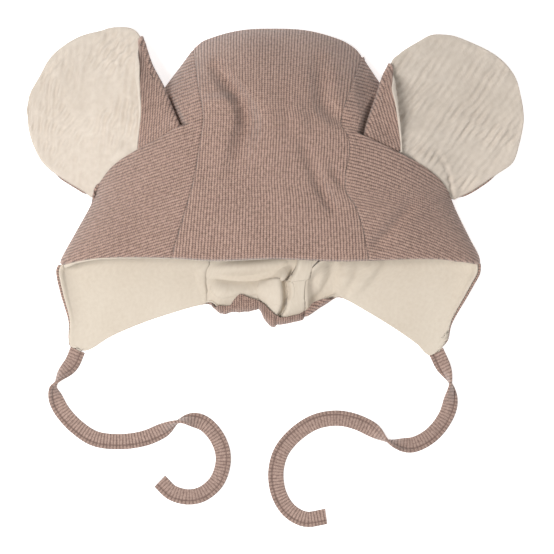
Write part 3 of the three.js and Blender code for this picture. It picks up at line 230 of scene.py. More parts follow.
# The bulge between the left seam and the pleat: its upper border, across and along. It rises over
# BULGE_RISE mm below that border, starts at the left over BULGE_LEFT, is fuller near the pleat and
# ends there in a crease.
BULGE_BORDER = [(-0.3, -0.2), (-0.277, -0.239), (-0.191, -0.273), (-0.096, -0.273), (-0.038, -0.239),
                (0.01, -0.182), (0.043, -0.125), (0.067, -0.091)]
BULGE_HEIGHT = 3.4
BULGE_RISE = (-2.6, 3)
BULGE_LEFT = (-0.3, -0.24)
BULGE_FOOT = (-1.6, 0.6)
BULGE_FULLER = 0.95
BULGE_FULLER_WIDTH = 9
CREASE_WIDTH = 3
# Flat pleat of the lining at the right of the nape: its free edge and its seam, along and across.
# It rises over PLEAT_RISE mm at its edge and runs out over PLEAT_RUNOUT mm past its seam.
PLEAT_EDGE = [(-0.636, 0.053), (-0.585, 0.067), (-0.523, 0.081), (-0.432, 0.086), (-0.318, 0.085),
              (-0.25, 0.083), (-0.188, 0.089), (-0.136, 0.105), (-0.074, 0.127), (0.009, 0.139)]
PLEAT_SEAM = [(-0.557, 0.166), (-0.466, 0.164), (-0.375, 0.163), (-0.261, 0.167), (-0.182, 0.177),
              (-0.102, 0.201), (-0.023, 0.234), (0.017, 0.258)]
PLEAT_HEIGHT = 6.5
PLEAT_RISE = (-0.2, 0.7)
PLEAT_RUNOUT = (-0.4, 7)
# Pinches that the elastic pulls into the rolled band
BAND_PINCHES = [
    [(-0.062, -0.42, 0.8, 0.6), (-0.058, -0.489, 1.1, 1.3), (-0.055, -0.557, 1, 0.9)],
    [(0.024, -0.58, 0.8, 0.6), (0.033, -0.659, 1.3, 1.6), (0.036, -0.75, 1, 0.9)],
    [(0.153, -0.557, 0.8, 0.5), (0.163, -0.614, 1, 1.1), (0.17, -0.67, 0.9, 0.8)],
    [(-0.206, -0.477, 0.8, 0.6), (-0.218, -0.534, 1.1, 1.2), (-0.23, -0.602, 0.9, 0.6)],
    [(-0.141, -0.352, 0.6, 0.5), (-0.132, -0.409, 0.8, 0.9), (-0.124, -0.477, 0.6, 0)],
    [(-0.117, -0.375, 0.5, 0.4), (-0.112, -0.432, 0.7, 0.7), (-0.11, -0.489, 0.5, 0)],
    [(0.206, -0.443, 0.8, 0.6), (0.23, -0.477, 1.2, 1.2), (0.249, -0.511, 0.8, 0)],
]


def share_along(x, y, start, end):
    """How far along a straight line a place is, and its distance from it."""
    dx, dy = end[0] - start[0], end[1] - start[1]
    t = np.clip(((x - start[0]) * dx + (y - start[1]) * dy) / (dx * dx + dy * dy), 0, 1)
    return t, np.hypot(x - start[0] - t * dx, y - start[1] - t * dy)


def crease_relief(creases, x, y):
    """Height of all creases at a place; along one crease its width and height change smoothly."""
    height = np.zeros(np.broadcast(x, y).shape)
    for crease in creases:
        own = np.zeros(height.shape)
        for start, end in zip(crease[:-1], crease[1:]):
            a = (place_x(start[0]), place_y(start[1]))
            b = (place_x(end[0]), place_y(end[1]))
            t, distance = share_along(x, y, a, b)
            off = np.clip(distance / lerp(start[2], end[2], t), 0, 1)
            rise = lerp(start[3], end[3], t) * (1 - off * off) ** 2
            own = np.where(np.abs(rise) > np.abs(own), rise, own)
        height += own
    return height


# %% [markdown]
# ## Two sheets
# An empty hat on its back is two sheets of cloth. The upper one is a low cushion over the outline.
# The lower one lies on the surface, comes up to the side folds and rolls up at the nape. Height as a
# function of place keeps neighbouring pieces together, since all of them read the same two sheets.

# %% Heights of the two sheets
def fold_edge(side, y):
    top = place_y(side["corner"])
    slope = (edge_x(side["fold"], top) - edge_x(side["fold"], top - FOLD_ROUNDING)) / FOLD_ROUNDING
    return edge_x(side["fold"], y) + np.maximum(y - top, 0) * slope


def upper_height(x, y):
    """The upper sheet is a cushion over the outline, with its creases."""
    edge = np.where(x < 0, fold_edge(LEFT, y), fold_edge(RIGHT, y))
    across = np.clip(x / edge, 0, 1)
    start = place_y(CROWN_ROUNDING_FROM)
    up = np.clip((y - start) / (crown_y(x) - start), 0, 1)
    rounding = np.sqrt((1 - across ** FULLNESS) * (1 - up ** FULLNESS))
    rise = look_up(PROFILE, share_y(y)) * LOFT - FOLD_HEIGHT
    return FOLD_HEIGHT + (rise + crease_relief(FRONT_FOLDS, x, y)) * rounding


OUTLINE_STEPS = 48
FLAP_CURL_END = 0.9


def outline():
    """The outline of the lower sheet from flap tip to flap tip, with the height of its edge."""
    rows = []
    for side, order in ((LEFT, 1), (RIGHT, -1)):
        flap = np.linspace(side["flap_edge"][0][0], side["fold"][0][0], OUTLINE_STEPS)
        curl = lerp(FOLD_HEIGHT, FLAP_TIP_CURL, smooth(-flap, 0, FLAP_CURL_END))
        fold = np.linspace(side["fold"][0][0], side["corner"], OUTLINE_STEPS)
        points = [np.column_stack([place_x(look_up(side["flap_edge"], flap)), place_y(flap), curl]),
                  np.column_stack([place_x(look_up(side["fold"], fold)), place_y(fold),
                                   np.full(OUTLINE_STEPS, FOLD_HEIGHT)])]
        rows.append(np.vstack(points)[::order])
    x = place_x(np.linspace(CROWN[0][0], CROWN[-1][0], OUTLINE_STEPS))
    crown = np.column_stack([x, crown_y(x), np.full(OUTLINE_STEPS, FOLD_HEIGHT)])
    return np.vstack([rows[0], crown, rows[1]])


OUTLINE = outline()
NAPE_ROLL_RADIUS = 4.4
NAPE_FLAT = 9


def nape_roll(x):
    """How a column of cloth rolls at the nape, from the shape of the lower edge at x."""
    across = x / HALF_BRIM
    turn = np.clip(look_up(NAPE, across, 3), 0, 1)
    angle = turn * math.pi
    reach = NAPE_ROLL_RADIUS * np.sin(np.minimum(angle, math.pi / 2))
    band = np.maximum(look_up(NAPE, across, 2) * FLAP_DROP - NAPE_ROLL_RADIUS, 0)
    back = band * smooth(turn, 0.8, 1)
    start = place_y(look_up(NAPE, across, 1)) + reach
    return angle, start, NAPE_FLAT + NAPE_ROLL_RADIUS * angle + back


def roll_point(roll, length):
    angle, start, _ = roll
    past = np.maximum(length - NAPE_FLAT, 0)
    turned = np.minimum(past / NAPE_ROLL_RADIUS, angle)
    straight = past - turned * NAPE_ROLL_RADIUS
    flat = start + np.maximum(NAPE_FLAT - length, 0)
    y = flat - NAPE_ROLL_RADIUS * np.sin(turned) - straight * np.cos(turned)
    return y, NAPE_ROLL_RADIUS * (1 - np.cos(turned)) + straight * np.sin(turned)


def lower_height(x, y):
    """The lower sheet lies flat, rounds up to the side folds and gathers at the nape."""
    shape = np.broadcast(x, y).shape
    nearest = np.full(shape, np.inf)
    edge_height = np.zeros(shape)
    for a, b in zip(OUTLINE[:-1], OUTLINE[1:]):
        if np.hypot(*(b - a)[:2]) < 1e-6:
            continue
        _, distance = share_along(x, y, a, b)
        closer = distance < nearest
        nearest = np.where(closer, distance, nearest)
        edge_height = np.where(closer, (a[2] + b[2]) / 2, edge_height)
    inside = np.clip(1 - nearest / FOLD_ROUNDING, 0, 1)
    rounding = edge_height * (1 - np.sqrt(1 - inside * inside))
    from_roll = y - nape_roll(x)[1]
    gathers = smooth(from_roll, NAPE_ROLL_RADIUS, 3 * NAPE_ROLL_RADIUS)
    return rounding + crease_relief(NAPE_FOLDS, x, y) * gathers


def lining_gathers(x, y, z):
    """How far the lining of the lower sheet stands off the outer cloth, seen in the mouth."""
    edge, seam = edge_x(PLEAT_EDGE, y), edge_x(PLEAT_SEAM, y)
    pleat = PLEAT_HEIGHT * smooth(x - edge, *PLEAT_RISE) * (1 - smooth(x - seam, *PLEAT_RUNOUT))
    border = place_y(look_up(BULGE_BORDER, x / HALF_BRIM))
    foot = 1 - smooth(x - edge + CREASE_WIDTH, *BULGE_FOOT)
    bulge = BULGE_HEIGHT * smooth(border - y, *BULGE_RISE) * foot * smooth(x, *place_x(BULGE_LEFT))
    bulge = bulge * (1 + BULGE_FULLER * np.exp(-((x - edge) / BULGE_FULLER_WIDTH) ** 2))
    height = np.maximum(np.maximum(crease_relief(GATHERS, x, y), bulge), pleat)
    from_roll = y - nape_roll(x)[1]
    fade = np.interp(from_roll, [-2.5, 0, 6], [0, 0.55, 1]) * (1 - smooth(z, 1.5, 4))
    return np.maximum(height, 0) * fade * (1 - smooth(y, -47, -42))


print("outline points:", len(OUTLINE))

# %% [markdown]
# ## The pattern of the panels
# Each panel is a net of rows and columns. The rows run from the forehead over the crown and down the
# back to the nape. The columns run from seam to seam. The same net, read more finely, gives the
# outer cloth and the lining, so they nest as the real layers do.

# %% Rows of the panels
# row number, seam, side fold, bow of the row, back seam; all as shares of the panel's corner
ROWS = [
    (0, 1, 1, 0, 1), (1, 0.96, 0.93, 0, 0.982), (2, 0.905, 0.83, 0, 0.94), (3, 0.84, 0.72, 0, 0.88),
    (4, 0.765, 0.61, 0.05, 0.79), (5, 0.695, 0.487, 0.35, 0.69), (6, 0.637, 0.2925, 1, 0.58),
    (7, 0.54, 0.237, 0.65, 0.47), (8, 0.44, 0.182, 0.45, 0.36), (9, 0.33, 0.127, 0.3, 0.26),
    (10, 0.22, 0.077, 0.15, 0.17), (11, 0.11, 0.033, 0.05, 0.085), (12, 0, 0, 0, 0),
]
FRONT_ROWS = 12
MOUTH_ROWS = 4
ROLL_ROWS = 6
BACK_ROWS = FRONT_ROWS + MOUTH_ROWS + ROLL_ROWS
SLIT_ROW = 6
SEAM, FOLD, BOW, BACK = 1, 2, 3, 4
# Slit that the ear is sewn into: share of its row, bow to the crown on the left and on the right
SLIT = [(0, 0, 0), (0.19, 0.06, 0.032), (0.4, 0.073, 0.051), (0.6, 0.088, 0.066),
        (0.8, 0.09, 0.068), (0.92, 0.06, 0.05), (1, 0, 0)]
LEFT.update(name="left", slit_column=1, slit_start=0.198)
RIGHT.update(name="right", slit_column=2, slit_start=0.17)


def front_place(side, row, share):
    """A point of the upper side panel, from the seam at share 0 to the side fold at share 1."""
    seam = look_up(ROWS, row, SEAM) * side["corner"]
    last = np.clip(row - (FRONT_ROWS - 1), 0, 1)
    fold = look_up(ROWS, row, FOLD) * side["corner"] + last * side["fold"][0][0]
    x = lerp(edge_x(side["front_seam"], place_y(seam)), edge_x(side["fold"], place_y(fold)), share)
    bow = look_up(ROWS, row, BOW) * look_up(SLIT, share, side["slit_column"]) * FRONT_LENGTH
    inner = place_y(lerp(seam, fold, share)) + bow
    last_inner = place_y(share * side["fold"][0][0])
    forehead = place_y(look_up(FOREHEAD, x / HALF_BRIM))
    return x, inner + last * (forehead - last_inner)


def crown_across(share):
    return lerp(LEFT["fold"][-1][1], RIGHT["fold"][-1][1], share)


def column_corner(share):
    return look_up(CROWN, crown_across(share))


def mouth_row(row, start_y, bottom_x):
    """A row of the lower sheet below the crown rows: its y, its y laid flat and its lift."""
    roll = nape_roll(bottom_x)
    top = roll[1] + NAPE_FLAT
    flat = lerp(start_y, top, np.clip((row - FRONT_ROWS) / MOUTH_ROWS, 0, 1))
    length = roll[2] * np.clip((row - FRONT_ROWS - MOUTH_ROWS) / ROLL_ROWS, 0, 1)
    y, lift = roll_point(roll, length)
    rolled = row > FRONT_ROWS + MOUTH_ROWS
    return np.where(rolled, y, flat), np.where(rolled, top - length, flat), np.where(rolled, lift, 0)


def rest_height(x, y, lift):
    return np.where(lift > 0, lift, lower_height(x, y))


def center_front(row, share):
    """The middle strip over the front; row 12 is the forehead edge and row 0 the crown."""
    seam = look_up(ROWS, row, SEAM)
    left = edge_x(LEFT["front_seam"], place_y(seam * LEFT["corner"]))
    right = edge_x(RIGHT["front_seam"], place_y(seam * RIGHT["corner"]))
    x = lerp(left, right, share)
    forehead = place_y(look_up(FOREHEAD, x / HALF_BRIM))
    last = np.clip(row - (FRONT_ROWS - 1), 0, 1)
    y = place_y(seam * column_corner(share)) + last * (forehead - FOREHEAD_Y)
    return np.stack([x, y, upper_height(x, y)], -1)


def back_points(row, upper, lower, lift):
    """The underside: its upper rows as they lie under the front, its lower ones with their lift."""
    low = row > FRONT_ROWS
    x, y = (np.where(low, below, above) for above, below in zip(upper, lower))
    return x, y, rest_height(x, y, np.where(low, lift, 0))


def center_back(row, share):
    """The middle strip down the back; row 0 is the crown and row 22 the end of the nape roll."""
    back = look_up(ROWS, np.minimum(row, FRONT_ROWS), BACK)
    x_top = lerp(edge_x(LEFT["back_seam"], place_y(back * LEFT["corner"])),
                 edge_x(RIGHT["back_seam"], place_y(back * RIGHT["corner"])), share)
    y_top = place_y(back * column_corner(share))
    feet = [place_x(side["back_seam"][0][1]) for side in (LEFT, RIGHT)]
    y, _, lift = mouth_row(row, place_y(0), lerp(*feet, share))
    ends = [edge_x(side["back_seam"], mouth_row(row, place_y(0), np.full_like(y, foot))[1])
            for side, foot in zip((LEFT, RIGHT), feet)]
    return np.stack(back_points(row, (x_top, y_top), (lerp(*ends, share), y), lift), -1)


def side_back(side, row, share):
    """The side panel under the hat, from the side fold at share 0 to the back seam at share 1."""
    top = np.minimum(row, FRONT_ROWS)
    fold_x, fold_y = front_place(side, top, np.ones_like(share))
    seam_y = place_y(look_up(ROWS, top, BACK) * side["corner"])
    seam_x = edge_x(side["back_seam"], seam_y)
    start_y = lerp(fold_y, seam_y, share)
    tip_x = np.full_like(start_y, place_x(side["flap_edge"][0][1]))
    foot_x = np.full_like(start_y, place_x(side["back_seam"][0][1]))
    y, _, lift = mouth_row(row, start_y, lerp(tip_x, foot_x, share))
    edge_flat = mouth_row(row, fold_y, tip_x)[1]
    seam_flat = mouth_row(row, seam_y, foot_x)[1]
    x_low = lerp(edge_x(side["flap_edge"], edge_flat), edge_x(side["back_seam"], seam_flat), share)
    x, y, z = back_points(row, (lerp(fold_x, seam_x, share), start_y), (x_low, y), lift)
    z = np.where((share == 0) & (row <= FRONT_ROWS), FOLD_HEIGHT, z)
    return np.stack([x, y, z], -1)


print("rows of a panel:", FRONT_ROWS + BACK_ROWS)

# %% [markdown]
# ## Where the ears sit
# Each ear is sewn into a slit of its side panel and leans back over the rear of the panel. The rear
# of the panel is pressed down under it. Ear outlines are measured in the frame of the slit: base
# along the slit from its inner end, rise away from it.

# %% Seats of the ears
EAR_LENGTH = 85
EAR_RIM_HEIGHT = 3
EAR_SLOPE_END = 0.85
EAR_HALF = 1.15
# Past SOFT_FROM of its slope the ear follows its foot's mean over SOFT_STEPS along the slit
SOFT_STEPS = np.linspace(-0.3, 0.3, 13)
SOFT_FROM = (0.02, 0.3)
FOLD_RISE = 4.5
# The panel under the ear: gap below the ear, and how it comes up again past the ear's fold
UNDER_EAR_GAP = 0.9
UNDER_EAR_MARGIN = 1.2
UNDER_EAR_RISE = 3
# Shares of the slit over which the folded part ends and the ear's foot comes up to the lip
PLEAT_END = (0.42, 0.57)
FOOT_RISE = (0.62, 0.86)
SLIT_STEPS = 49
PLEAT_RADIUS = EAR_HALF + 0.2
EAR_FOLD_RADIUS = PLEAT_RADIUS + 1.05
LEFT["ear"] = {
    "outer": [(0.995, 0.012), (1.022, 0.079), (1.104, 0.264), (1.134, 0.394), (1.1, 0.52), (1.039, 0.623),
              (0.949, 0.714)],
    "top": [(0.949, 0.714), (0.845, 0.787), (0.674, 0.838), (0.524, 0.882), (0.371, 0.892),
            (0.182, 0.87), (0.009, 0.81), (-0.064, 0.788), (-0.161, 0.735), (-0.206, 0.696), (-0.225, 0.657),
            (-0.222, 0.62)],
    "fold": [(0, 0.01), (-0.061, 0.163), (-0.108, 0.275), (-0.147, 0.417), (-0.196, 0.517),
             (-0.226, 0.572), (-0.237, 0.612)],
    "border": [(0.424, 0.068), (0.325, 0.142), (0.196, 0.239), (0.091, 0.344), (0.006, 0.439),
               (-0.078, 0.515), (-0.14, 0.553), (-0.183, 0.58)],
}
RIGHT["ear"] = {
    "outer": [(0.995, 0.012), (1.09, 0.135), (1.173, 0.302), (1.232, 0.43), (1.187, 0.549),
              (1.097, 0.69), (1, 0.774)],
    "top": [(1, 0.774), (0.828, 0.881), (0.663, 0.926), (0.488, 0.931), (0.292, 0.906), (0.15, 0.878),
            (0.056, 0.842), (-0.037, 0.787), (-0.1, 0.69), (-0.147, 0.609), (-0.165, 0.56), (-0.181, 0.52),
            (-0.175, 0.48)],
    "fold": [(0, 0.01), (-0.06, 0.131), (-0.115, 0.267), (-0.156, 0.349), (-0.178, 0.41), (-0.19, 0.478)],
    "border": [(0.36, 0.06), (0.296, 0.12), (0.2, 0.199), (0.091, 0.281), (-0.004, 0.353),
               (-0.07, 0.402), (-0.133, 0.444)],
}


def to_ear(side, x, y):
    dx, dy = x - side["origin"][0], y - side["origin"][1]
    base = (dx * side["along"][0] + dy * side["along"][1]) / side["slit_length"]
    return base, (dx * side["out"][0] + dy * side["out"][1]) / EAR_LENGTH


def from_ear(side, base, rise):
    return tuple(side["origin"][k] + base * side["slit_length"] * side["along"][k]
                 + rise * EAR_LENGTH * side["out"][k] for k in (0, 1))


def seat_ear(side):
    """Measures the slit of a side and the height of the ear's foot along it."""
    along_slit = np.linspace(side["slit_start"], 1, SLIT_STEPS)
    x, y = front_place(side, np.full(SLIT_STEPS, float(SLIT_ROW)), along_slit)
    side["origin"] = (x[0], y[0])
    side["slit_length"] = math.hypot(x[-1] - x[0], y[-1] - y[0])
    side["along"] = ((x[-1] - x[0]) / side["slit_length"], (y[-1] - y[0]) / side["slit_length"])
    side["out"] = (-side["sign"] * side["along"][1], side["sign"] * side["along"][0])
    base, rise = to_ear(side, x, y)
    pleat = 2 * PLEAT_RADIUS * (1 - smooth(base, *PLEAT_END))
    lift = lerp(-(PLEAT_RADIUS + pleat), EAR_HALF - 0.7, smooth(base, *FOOT_RISE))
    rows = np.column_stack([base, rise, upper_height(x, y) + lift])
    side["foot"] = rows[np.argsort(rows[:, 0])]


def ear_height(side, x, y):
    """The middle of the ear's cloth, from its foot in the slit down to its rim."""
    base, rise = to_ear(side, x, y)
    down = np.clip((rise - look_up(side["foot"], base, 1)) / EAR_SLOPE_END, 0, 1)
    foot = look_up(side["foot"], base, 2)
    soft_rise, soft_foot = (sum(look_up(side["foot"], base + step, column) for step in SOFT_STEPS)
                            / len(SOFT_STEPS) for column in (1, 2))
    soft_down = np.clip((rise - soft_rise) / EAR_SLOPE_END, 0, 1)
    soft = smooth(down, *SOFT_FROM)
    return lerp(lerp(foot, soft_foot, soft), EAR_RIM_HEIGHT, lerp(down, soft_down, soft))


def under_ear(side, x, y):
    base, rise = to_ear(side, x, y)
    fold_rows = [(r, b) for b, r in side["ear"]["fold"]]
    past = np.maximum((look_up(fold_rows, rise) - base) * side["slit_length"] - UNDER_EAR_MARGIN, 0)
    below = ear_height(side, x, y) - EAR_HALF - UNDER_EAR_GAP + UNDER_EAR_RISE * past
    return np.minimum(upper_height(x, y), below)


for side in (LEFT, RIGHT):
    seat_ear(side)
    print(side["name"], "slit:", round(side["slit_length"], 1), "mm")

# %% [markdown]
# ## Cloth from a grid
# A grid primitive has its points in rows, so the pattern can place them all at once. The flat cloth
# coordinates go into its UV map, in metres, and later the ribs follow them round every fold. The
# wall comes from Solidify, which is applied, so the piece is a closed solid of real thickness.

# %% Helpers for cloth pieces
def select_only(obj):
    bpy.ops.object.select_all(action="DESELECT")
    obj.select_set(True)
    bpy.context.view_layer.objects.active = obj


def grid_normals(points):
    across = np.gradient(points, axis=1)
    down = np.gradient(points, axis=0)
    normal = np.cross(across, down)
    return normal / np.maximum(np.linalg.norm(normal, axis=-1, keepdims=True), 1e-9)


def round_over(distance, radius):
    """How far cloth has turned down at a distance from its edge: none past the radius."""
    t = np.clip(1 - distance / radius, 0, 1)
    return radius * (1 - np.sqrt(1 - t * t))


def cloth_grid(name, points, flat):
    """A grid primitive with its points at points (rows, columns, xyz in mm) and its UV map at flat."""
    rows, columns = points.shape[:2]
    bpy.ops.mesh.primitive_grid_add(x_subdivisions=columns - 1, y_subdivisions=rows - 1, size=1)
    obj = bpy.context.object
    obj.name = name
    obj.data.name = name
    obj.data.vertices.foreach_set("co", (points * MM).astype(np.float32).ravel())
    corner = np.zeros(len(obj.data.loops), int)
    obj.data.loops.foreach_get("vertex_index", corner)
    uv = (flat * MM).astype(np.float32).reshape(-1, 2)[corner]
    obj.data.uv_layers[0].data.foreach_set("uv", uv.ravel())
    obj.data.update()
    return obj


def joined(name, parts):
    """Sews grids that share an edge into one sheet."""
    select_only(parts[0])
    for part in parts[1:]:
        part.select_set(True)
    bpy.ops.object.join()
    obj = bpy.context.object
    obj.name = name
    obj.data.name = name
    bpy.ops.object.mode_set(mode="EDIT")
    bpy.ops.mesh.select_all(action="SELECT")
    bpy.ops.mesh.remove_doubles(threshold=0.01 * MM)
    bpy.ops.mesh.dissolve_degenerate(threshold=0.001 * MM)
    bpy.ops.object.mode_set(mode="OBJECT")
    return obj


def turned(obj):
    select_only(obj)
    bpy.ops.object.mode_set(mode="EDIT")
    bpy.ops.mesh.select_all(action="SELECT")
    bpy.ops.mesh.flip_normals()
    bpy.ops.object.mode_set(mode="OBJECT")
    return obj


def with_sink(obj, sink):
    """Notes how far each point of a grid will move into the cloth once the grids are sewn."""
    note = obj.data.attributes.new("sink", "FLOAT", "POINT")
    note.data.foreach_set("value", sink.astype(np.float32).ravel())
    return obj


def sunk(obj):
    """Moves the points of a sewn sheet in along its own normals, so no joint of grids shows."""
    mesh = obj.data
    count = len(mesh.vertices)
    place, normal, sink = np.zeros(count * 3), np.zeros(count * 3), np.zeros(count)
    mesh.vertices.foreach_get("co", place)
    mesh.vertex_normals.foreach_get("vector", normal)
    mesh.attributes["sink"].data.foreach_get("value", sink)
    moved = place.reshape(-1, 3) - normal.reshape(-1, 3) * sink[:, None] * MM
    mesh.vertices.foreach_set("co", moved.ravel())
    mesh.attributes.remove(mesh.attributes["sink"])
    mesh.update()
    return obj


def thicken(obj, thickness):
    """Gives a sheet its wall, inwards, and makes that final."""
    select_only(obj)
    wall = obj.modifiers.new("wall", "SOLIDIFY")
    wall.thickness = thickness * MM
    wall.offset = -1
    wall.use_even_offset = False
    bpy.ops.object.modifier_apply(modifier="wall")
    bpy.ops.object.shade_smooth()
    return obj


def finished(obj, node, material):
    """Puts a piece in the place of its CAD node, on the hat's one body."""
    obj.data.materials.clear()
    obj.data.materials.append(material)
    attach(obj, "root")
    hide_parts(node)
    print(f"{obj.name}: {len(obj.data.polygons)} faces")


# %% Small unevenness of hand-sewn cloth
def ripple(x, y, size, seed, waves=9, lean=0.0, stretch=1.0):
    """A smooth wavy field of about one, with waves of a size in mm, stretched along a lean."""
    rng = np.random.default_rng(seed)
    u = (x * math.cos(lean) + y * math.sin(lean)) / stretch
    v = -x * math.sin(lean) + y * math.cos(lean)
    total = np.zeros(np.broadcast(x, y).shape)
    for _ in range(waves):
        turn = rng.uniform(0, math.pi)
        length = size * rng.uniform(0.7, 1.5)
        phase = rng.uniform(0, 2 * math.pi)
        total += np.cos((u * math.cos(turn) + v * math.sin(turn)) * 2 * math.pi / length + phase)
    return total / math.sqrt(waves)


# %% [markdown]
# ## Materials
# Fine rib is a row of round ridges with grooves, crossed by small stitches. The material draws them from the
# UV map, so they bend with the cloth, with painted shade in the grooves and painted light on the crests, and
# bumps the surface with the same pattern.
# The lining is a smooth jersey, the ear faces are a crinkled double gauze with an open weave.

# %% Node helpers
def new_material(name):
    material = bpy.data.materials.new(name)
    material.use_nodes = True
    tree = material.node_tree
    tree.nodes.clear()
    output = tree.nodes.new("ShaderNodeOutputMaterial")
    shader = tree.nodes.new("ShaderNodeBsdfPrincipled")
    tree.links.new(shader.outputs["BSDF"], output.inputs["Surface"])
    return material, tree, shader


def set_inputs(tree, node, values):
    """Gives sockets of a node plain values, or links to other nodes; returns its first output."""
    for name, value in values.items():
        if isinstance(value, bpy.types.NodeSocket):
            tree.links.new(value, node.inputs[name])
        else:
            node.inputs[name].default_value = value
    return node.outputs[0]


def math_node(tree, operation, *values):
    node = tree.nodes.new("ShaderNodeMath")
    node.operation = operation
    return set_inputs(tree, node, dict(enumerate(values)))


def weighted_sum(tree, *terms):
    """A sum of sockets, each with its weight, from left to right."""
    total = None
    for socket, weight in terms:
        term = math_node(tree, "MULTIPLY", socket, weight)
        total = term if total is None else math_node(tree, "ADD", total, term)
    return total


def mix_colour(tree, share, dark, light):
    node = tree.nodes.new("ShaderNodeMix")
    node.data_type = "RGBA"
    set_inputs(tree, node, {0: share, 6: (*dark, 1), 7: (*light, 1)})
    return node.outputs[2]


def flat_coordinates(tree):
    """The cloth's own across and along, in metres."""
    uv = tree.nodes.new("ShaderNodeUVMap")
    uv.uv_map = "UVMap"
    split = tree.nodes.new("ShaderNodeSeparateXYZ")
    tree.links.new(uv.outputs[0], split.inputs[0])
    return split.outputs[0], split.outputs[1], uv.outputs[0]


def noise_node(tree, vector, scale, detail):
    node = tree.nodes.new("ShaderNodeTexNoise")
    return set_inputs(tree, node, {"Vector": vector, "Scale": scale, "Detail": detail, "Roughness": 0.5})


def dress(tree, shader, values, *bumps):
    """Sets a shader's values and stacks bumps on it, each a height, a depth and a strength."""
    set_inputs(tree, shader, values)
    below = {}
    for height, depth, strength in bumps:
        node = tree.nodes.new("ShaderNodeBump")
        below = {"Normal": set_inputs(tree, node, {"Height": height, "Distance": depth,
                                                   "Strength": strength, **below})}
    set_inputs(tree, shader, below)


# %% Rib knit
RIB_PERIOD = 1.6 * MM
STITCH_PERIOD = 1.22 * MM
RIB_DEPTH = 0.45 * MM
RIB_WOBBLE = 0.7 * MM
# Ends of the rib's colour: dark for the painted shade in the grooves and the darker fuzz and clouds, light
# for the painted light on the crests and the lighter fuzz and clouds
RIB_DARK_AND_GROOVE_SHADE = (0.12, 0.064, 0.046)
RIB_LIGHT_AND_LIT_CREST = (0.465, 0.308, 0.246)
# Brightness between dark and light from ridges (painted shade in the grooves, painted light on the crests),
# stitches, fuzz and clouds, less an offset
RIDGE_SHADE_SHARE, STITCH_SHARE, FUZZ_SHARE, CLOUD_SHARE, DARK_OFFSET = 1.15, 0.2, 1.5, 0.3, 1.285
# The ties: colours, whose ends also give painted shade in the rib grooves and painted light on the crests,
# the stitched line in mm from the middle line of the band, and the half width of the painted shade along its
# groove
TIE_DARK_AND_GROOVE_SHADE = (0.17, 0.106, 0.085)
TIE_LIGHT_AND_LIT_CREST = (0.44, 0.307, 0.255)
TIE_SEAM = 2
SEAM_SHADE_WIDTH = 0.55 * MM


def rib_material(name, dark, light, period, stitch, depth, seam=None):
    """Ribs run along the V of the UV map; U counts across them. Their ridges give painted shade in the
    grooves and painted light on the crests. A seam is a dark line of painted shade at one V, and the band
    past it is a little darker.
    """
    material, tree, shader = new_material(name)
    across, along, uv = flat_coordinates(tree)
    sway = noise_node(tree, uv, 240, 2)
    across = math_node(tree, "ADD", across, math_node(tree, "MULTIPLY", sway, RIB_WOBBLE))
    phase = math_node(tree, "FRACT", math_node(tree, "DIVIDE", across, period))
    offset = math_node(tree, "ABSOLUTE", math_node(tree, "SUBTRACT", phase, 0.5))
    square = math_node(tree, "MULTIPLY", math_node(tree, "MULTIPLY", offset, offset), 4)
    ridge = math_node(tree, "SQRT", math_node(tree, "SUBTRACT", 1.02, square))
    slant = math_node(tree, "ADD", math_node(tree, "DIVIDE", along, stitch), offset)
    wave = math_node(tree, "SINE", math_node(tree, "MULTIPLY", slant, 2 * math.pi))
    height = math_node(tree, "ADD", ridge, math_node(tree, "MULTIPLY", wave, 0.16))
    fuzz = noise_node(tree, uv, 620, 3)
    cloud = noise_node(tree, uv, 45, 3)
    # The ridges paint shade into the grooves and light onto the crests
    share = weighted_sum(tree, (ridge, RIDGE_SHADE_SHARE), (wave, STITCH_SHARE), (fuzz, FUZZ_SHARE),
                         (cloud, CLOUD_SHARE))
    share = math_node(tree, "SUBTRACT", share, DARK_OFFSET)
    if seam is not None:
        # The seam's dark line is painted shade of the stitched groove; the strip past it is a little darker
        off = math_node(tree, "SUBTRACT", along, seam)
        width = math_node(tree, "DIVIDE", math_node(tree, "ABSOLUTE", off), SEAM_SHADE_WIDTH)
        line = math_node(tree, "MAXIMUM", math_node(tree, "SUBTRACT", 1, width), 0)
        past = math_node(tree, "GREATER_THAN", off, 0)
        share = math_node(tree, "SUBTRACT", share, weighted_sum(tree, (line, 0.8), (past, 0.12)))
    values = {"Base Color": mix_colour(tree, share, dark, light), "Roughness": 0.95, "Sheen Weight": 0.25,
              "Sheen Roughness": 0.6}
    dress(tree, shader, values, (height, depth, 1), (fuzz, 0.12 * MM, 0.6))
    return material


# Both rib materials paint shade into their grooves and light onto their crests; the ties' one also paints
# shade along its stitched seam
rib_knit = rib_material("rib_knit", RIB_DARK_AND_GROOVE_SHADE, RIB_LIGHT_AND_LIT_CREST, RIB_PERIOD, STITCH_PERIOD, RIB_DEPTH)
tie_rib = rib_material("tie_rib", TIE_DARK_AND_GROOVE_SHADE, TIE_LIGHT_AND_LIT_CREST, 1.75 * MM, 0.9 * MM, 0.2 * MM, TIE_SEAM * MM)


